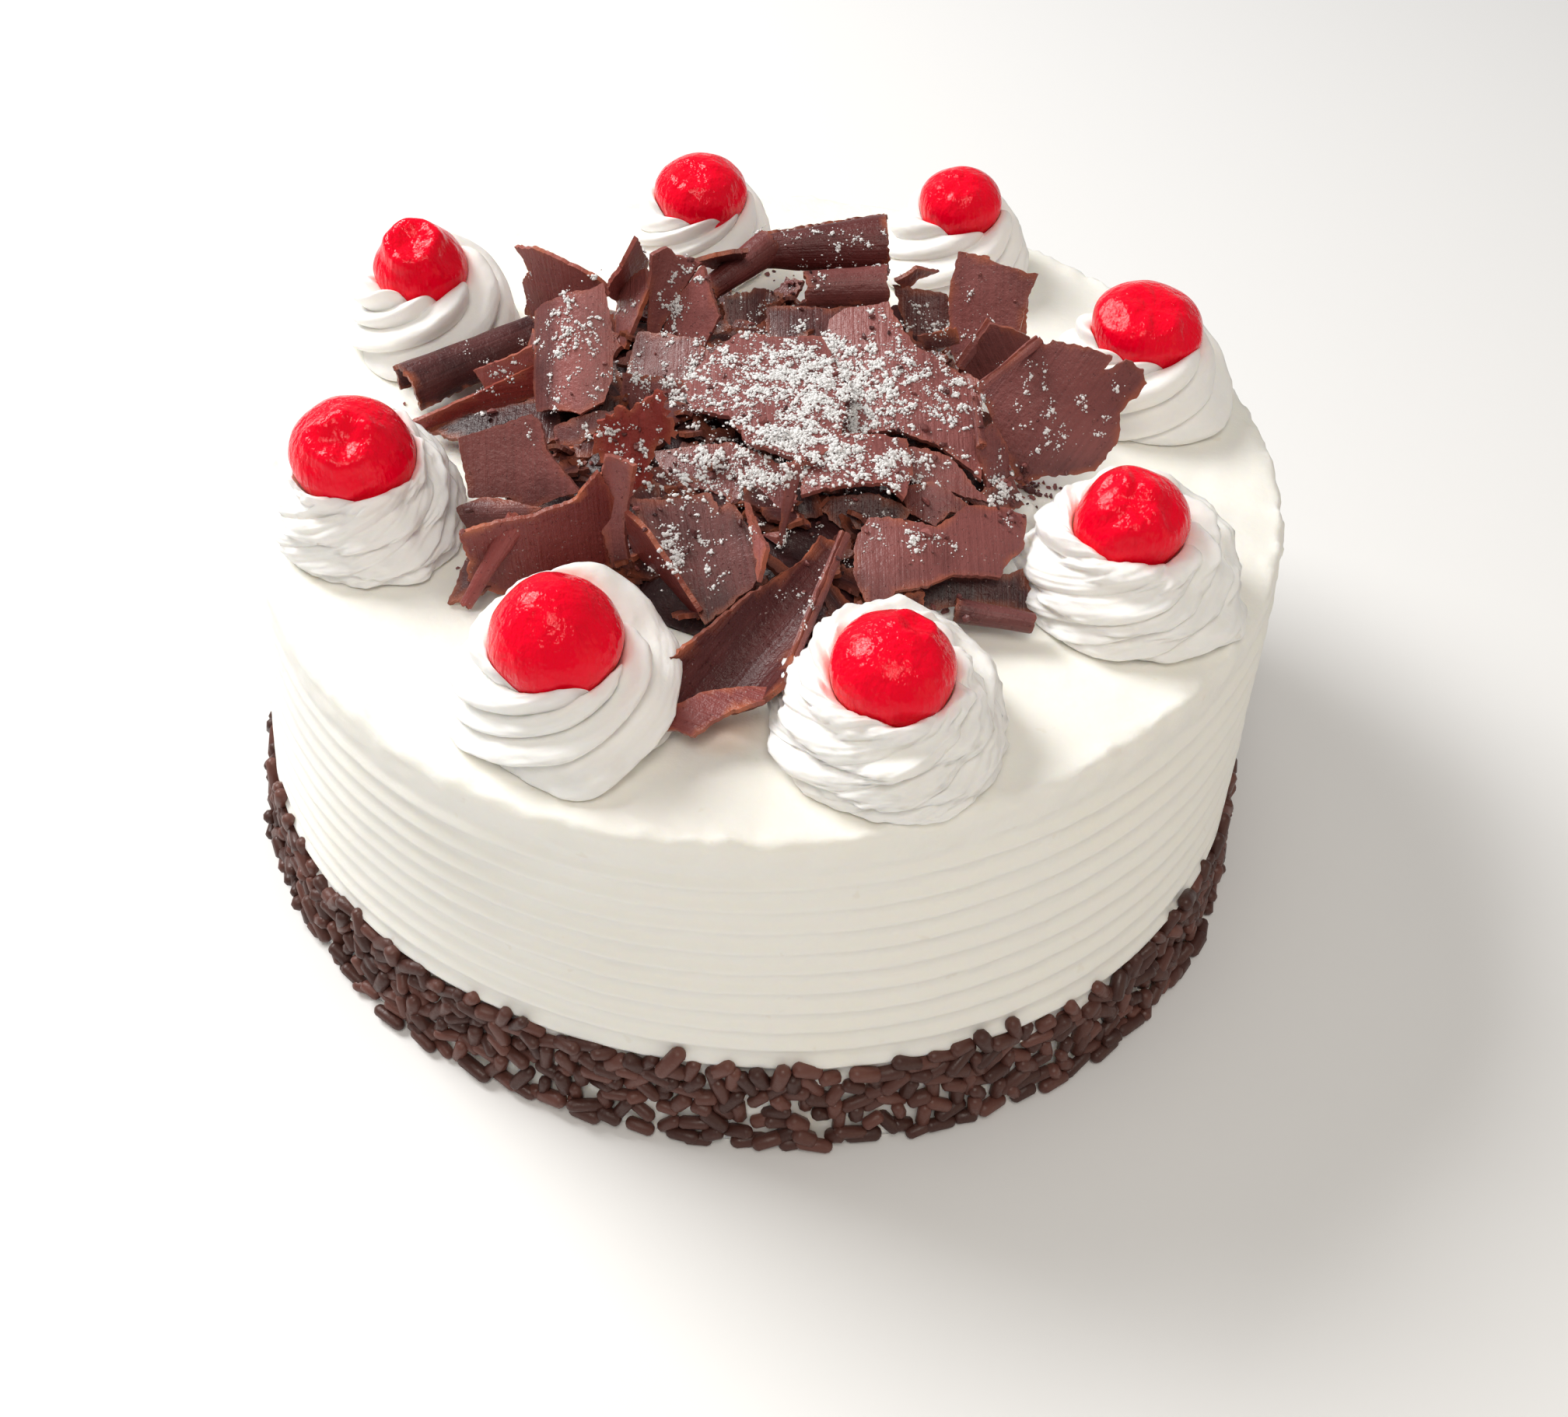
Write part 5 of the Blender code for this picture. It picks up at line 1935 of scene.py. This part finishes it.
@dataclass
class IcingSugar:
    """Flaky clumps and loose grains of icing sugar that lie on the shards."""

    grain: tuple[float, float] = (0.17, 0.38)
    speck: tuple[float, float] = (0.10, 0.22)
    specks_per_clump: int = 9
    speck_reach: float = 3.2
    spread: float = 0.36
    strays: int = 200
    stray_middle: tuple[float, float] = (2.0, 3.0)
    stray_reach: float = 42.0
    steepest: float = 0.12
    seed: int = 21

    def build(self, catcher: Catcher, finish: bpy.types.Material) -> list[bpy.types.Object]:
        """Drop the clumps and specks on what the camera and the sky see, and return both pieces.

        Args:
            catcher: what the sugar falls on.
            finish: the sugar's material.

        Returns:
            Both pieces.
        """
        draw = random.Random(self.seed)
        fleck = bmesh.new()
        bmesh.ops.create_uvsphere(fleck, u_segments=4, v_segments=2, radius=1.0)
        specks = Strewn(fleck)
        shape = bmesh.new()
        bmesh.ops.create_icosphere(shape, subdivisions=1, radius=1.0)
        for vert in shape.verts:
            vert.co *= 0.75 + 0.5 * draw.random()
        grains = Strewn(shape)
        for patch in DUSTINGS:
            for _ in range(patch.clumps):
                px = patch.x + patch.half_x * draw.gauss(0, 0.5)
                py = patch.y + patch.half_y * draw.gauss(0, 0.5)
                count = round(patch.grains * draw.expovariate(1.0) * 1.2)
                self.clump(grains, specks, draw, catcher.from_camera(px, py), count)
        for _ in range(self.strays):
            angle, reach = draw.uniform(0, math.tau), self.stray_reach * math.sqrt(draw.random())
            x = self.stray_middle[0] + reach * math.cos(angle)
            y = self.stray_middle[1] + reach * math.sin(angle)
            spot = catcher.from_above(x, y)
            self.clump(grains, specks, draw, spot, draw.randint(0, 4))
        made = [grains.finish("icing_sugar", finish, Slot.CREAM)]
        made.append(specks.finish("sugar_specks", finish, Slot.CREAM))
        for piece in made:
            piece.data.shade_smooth()
        return made

    def clump(
        self,
        grains: Strewn,
        specks: Strewn,
        draw: random.Random,
        spot: tuple[Optional[Vector], Optional[Vector]],
        count: int,
    ) -> None:
        """Add one flaky clump and the loose specks round it on a spot, unless it is steep.

        Args:
            grains: the clumps' copies that it adds to.
            specks: the loose copies that it adds to.
            draw: the seeded random numbers.
            spot: a point in metres and its normal.
            count: how many grains it has.
        """
        at, normal = spot
        if at is None or normal is None or abs(normal.z) < self.steepest:
            return
        if normal.z < 0:
            normal = -normal
        side = normal.orthogonal().normalized()
        side = Matrix.Rotation(draw.uniform(0, math.tau), 3, normal) @ side
        other = normal.cross(side)
        wide = self.spread * math.sqrt(max(2, count)) / 2.0
        flat = Matrix((side, other, normal)).transposed().to_4x4()
        for index in range(count + self.specks_per_clump):
            loose = index >= count
            size = draw.uniform(*(self.speck if loose else self.grain))
            reach = self.speck_reach if loose else 1.0
            x, y = draw.gauss(0, wide * reach), draw.gauss(0, 0.55 * wide * reach)
            pile = 0.0
            if not loose:
                pile = draw.random() * 0.5 * wide * math.exp(-(x * x + y * y) / (wide * wide))
            place = at / MM + side * x + other * y + normal * (0.35 * size + pile)
            heading, tilt = draw.uniform(0, math.tau), draw.gauss(0, 0.4)
            turn = flat @ Matrix.Rotation(heading, 4, "Z") @ Matrix.Rotation(tilt, 4, "X")
            length, height = size * draw.uniform(0.9, 1.6), size * draw.uniform(0.4, 0.8)
            scale = Matrix.Diagonal((length, size, height, 1.0))
            (specks if loose else grains).add(Matrix.Translation(place) @ turn @ scale)


@dataclass(frozen=True)
class SoftLight:
    """A square studio light that faces the cake, in metres and watts."""

    name: str
    spot: tuple[float, float, float]
    size: float
    power: float
    colour: tuple[float, float, float]
    aim: tuple[float, float, float] = (0.0, 0.0, 0.08)

    def add(self) -> None:
        """Add the light to the scene."""
        data = bpy.data.lights.new(self.name, "AREA")
        data.size, data.energy, data.color = self.size, self.power, self.colour
        lamp = bpy.data.objects.new(self.name, data)
        lamp.location = self.spot
        lamp.rotation_mode = "QUATERNION"
        way = Vector(self.aim) - Vector(self.spot)
        lamp.rotation_quaternion = way.to_track_quat("-Z", "Y")
        bpy.context.scene.collection.objects.link(lamp)


LIGHTS = (
    SoftLight("key_light", (-0.72, 0.42, 0.85), 0.50, 13.0, (1.0, 0.99, 0.97)),
    SoftLight("fill_light", (-0.02, -0.58, 1.05), 0.40, 4.3, (1.0, 0.93, 0.83)),
    SoftLight("warm_light", (0.85, -0.60, 0.22), 0.60, 0.85, (1.0, 0.74, 0.44)),
)
FLOOR_SIZE = 3.0
FLOOR_GREY = (0.90, 0.90, 0.90, 1.0)
FLOOR_ROUGHNESS = 0.8
WORLD_WHITE = (1.0, 1.0, 1.0, 1.0)
WORLD_STRENGTH = 0.285


def studio() -> None:
    """Add the pale floor, the soft lights and the world."""
    g = Graph("pale_floor")
    floor_finish = g.finish({"Base Color": FLOOR_GREY, "Roughness": FLOOR_ROUGHNESS})
    bm = bmesh.new()
    bmesh.ops.create_grid(bm, x_segments=1, y_segments=1, size=FLOOR_SIZE)
    mesh = bpy.data.meshes.new("floor")
    bm.to_mesh(mesh)
    bm.free()
    mesh.materials.append(floor_finish)
    floor = bpy.data.objects.new("floor", mesh)
    bpy.context.scene.collection.objects.link(floor)
    world = bpy.data.worlds.new("studio_world")
    world.use_nodes = True
    sky = world.node_tree.nodes["Background"]
    sky.inputs["Color"].default_value = WORLD_WHITE
    sky.inputs["Strength"].default_value = WORLD_STRENGTH
    bpy.context.scene.world = world
    bpy.context.scene.view_settings.view_transform = "Standard"
    for light in LIGHTS:
        light.add()


CHERRIES = (
    Cherry(
        1, -16.0, 65.0, width=18.8, tall=0.68, taper=0.04, lean=6, lean_heading=250,
        pits=(Pit(250, 72, 26, depth=0.07, rim=0.4, folds=0.02), Pit(330, 15, 25, depth=0.06)), lift=16.4,
    ),
    Cherry(
        2, 37.5, 64.0, width=17.0, tall=0.72, taper=0.05, lean=4, lean_heading=260,
        pits=(Pit(250, 68, 24, depth=0.06, rim=0.4, folds=0.03),), lift=16.6,
    ),
    Cherry(
        3, 70.0, 21.0, width=21.0, tall=0.6, taper=0.03, lean=6, lean_heading=300,
        pits=(
            Pit(250, 75, 30, depth=0.08, rim=0.4, folds=0.04), Pit(200, 40, 22, depth=0.07),
            Pit(310, 30, 22, depth=0.05),
        ),
        lift=16.2,
    ),
    Cherry(
        4, 58.6, -37.4, width=18.8, tall=0.92, taper=0.14, lean=18, lean_heading=130,
        pits=(
            Pit(270, 45, 26, depth=0.09, folds=0.05), Pit(310, 20, 20, depth=0.06),
            Pit(215, 62, 16, depth=0.06),
        ),
        uneven=0.045, lift=16.6,
    ),
    Cherry(
        5, 18.5, -73.4, width=19.0, tall=0.76, taper=0.03, lean=5, lean_heading=280,
        pits=(Pit(45, 66, 17, depth=0.1, rim=0.5, folds=0.02), Pit(320, 55, 16, depth=0.04)), lift=16.8,
    ),
    Cherry(
        6, -31.5, -69.5, width=20.4, tall=0.95, taper=0.14, lean=6, lean_heading=130,
        pits=(Pit(110, 82, 18, depth=0.03), Pit(60, 60, 20, depth=0.03)),
    ),
    Cherry(
        7, -69.5, -27.0, width=20.6, tall=0.84, taper=0.05, lean=6, lean_heading=285,
        pits=(
            Pit(275, 60, 24, depth=0.17, rim=0.4, folds=0.025), Pit(235, 52, 15, depth=0.09),
            Pit(320, 48, 14, depth=0.05),
        ),
    ),
    Cherry(
        8, -68.0, 32.2, width=17.6, tall=0.92, taper=0.1, lean=5, lean_heading=260,
        pits=(Pit(265, 72, 30, depth=0.2, rim=0.55, folds=0.02), Pit(330, 30, 22, depth=0.06)),
        uneven=0.04, lift=16.8,
    ),
)

SWIRLS = (
    Swirl(
        1, -16.0, 65.0, width=31.5, height=14.6, ball=18.8, lobes=7, twist=140.0, depth=0.17,
        shift=(0.0, 0.8), crests=((90, 2.0),), lift=16.4,
    ),
    Swirl(
        2, 37.5, 64.0, width=33.0, height=14.6, ball=17.0, lobes=7, twist=140.0, depth=0.17,
        shift=(0.0, 0.8), crests=((90, 2.0),), lift=16.6,
    ),
    Swirl(
        3, 70.0, 21.0, width=37.0, height=14.4, ball=21.0, lobes=7, twist=135.0, depth=0.19,
        tails=(Tail(330, 3.0),), crests=((90, 2.0),), lift=16.2,
    ),
    Swirl(
        4, 58.6, -37.4, width=38.5, height=15.2, ball=18.8, lobes=8, twist=140.0, depth=0.1, skew=1.6,
        coils=2.4, coil_depth=0.065, ruffle=0.7, tails=(Tail(325, 3.6, width=20.0),), shift=(1.6, 1.0),
        crests=((90, 2.6), (215, 1.2)), lift=16.6,
    ),
    Swirl(
        5, 18.5, -73.4, width=37.0, height=15.0, ball=19.0, lobes=9, twist=150.0, depth=0.075, skew=1.5,
        coils=3.2, coil_depth=0.075, ruffle=0.85, tails=(Tail(300, 1.4, width=16.0),), shift=(0.3, 1.6),
        crests=((100, 2.8),), lift=16.8,
    ),
    Swirl(
        6, -31.5, -69.5, width=38.2, height=15.8, ball=20.4, lobes=6, twist=165.0, depth=0.2, skew=1.8,
        ruffle=0.55, tails=(Tail(283, 2.6, width=16.0), Tail(200, 1.2)), shift=(0.9, 2.6),
        crests=((100, 4.2),),
    ),
    Swirl(
        7, -69.5, -27.0, width=32.6, height=15.2, ball=20.6, lobes=8, twist=145.0, depth=0.09, skew=1.6,
        coils=2.8, coil_depth=0.075, ruffle=0.8, tails=(Tail(310, 1.6, width=18.0),), shift=(0.8, 0.6),
        crests=((60, 3.2), (250, 0.6)),
    ),
    Swirl(
        8, -68.0, 32.2, width=35.6, height=15.0, ball=17.6, lobes=7, twist=150.0, depth=0.21, skew=1.8,
        tails=(Tail(290, 1.6),), shift=(1.2, 0.0), crests=((60, 3.0), (280, 1.0)), lift=16.8,
    ),
)


def main() -> None:
    """Build the cake's pieces in order and report each."""
    logging.basicConfig(level=logging.INFO, format="%(message)s")
    VIEW.add_camera()
    studio()
    cream, sprinkle, red = CreamFinish().build(), SprinkleFinish().build(), CherryFinish().build()
    chocolate, sugar = ChocolateFinish().build(), SugarFinish().build()
    coat = CreamCoat().build(cream)
    Sprinkles().build(sprinkle)
    piped = PIPED_CREAM.build()
    for swirl in SWIRLS:
        swirl.build(piped)
    for cherry in CHERRIES:
        cherry.build(red)
    heap = Heap()
    pieces = [heap.build_core(chocolate), heap.build_scraps(chocolate)]
    pieces += [heap.build_shards(chocolate), heap.build_curls(chocolate)]
    catcher = Catcher(pieces)
    heap.build_crumbs(Catcher([*pieces, coat]), chocolate)
    IcingSugar().build(catcher, sugar)


if __name__ == "__main__":
    main()
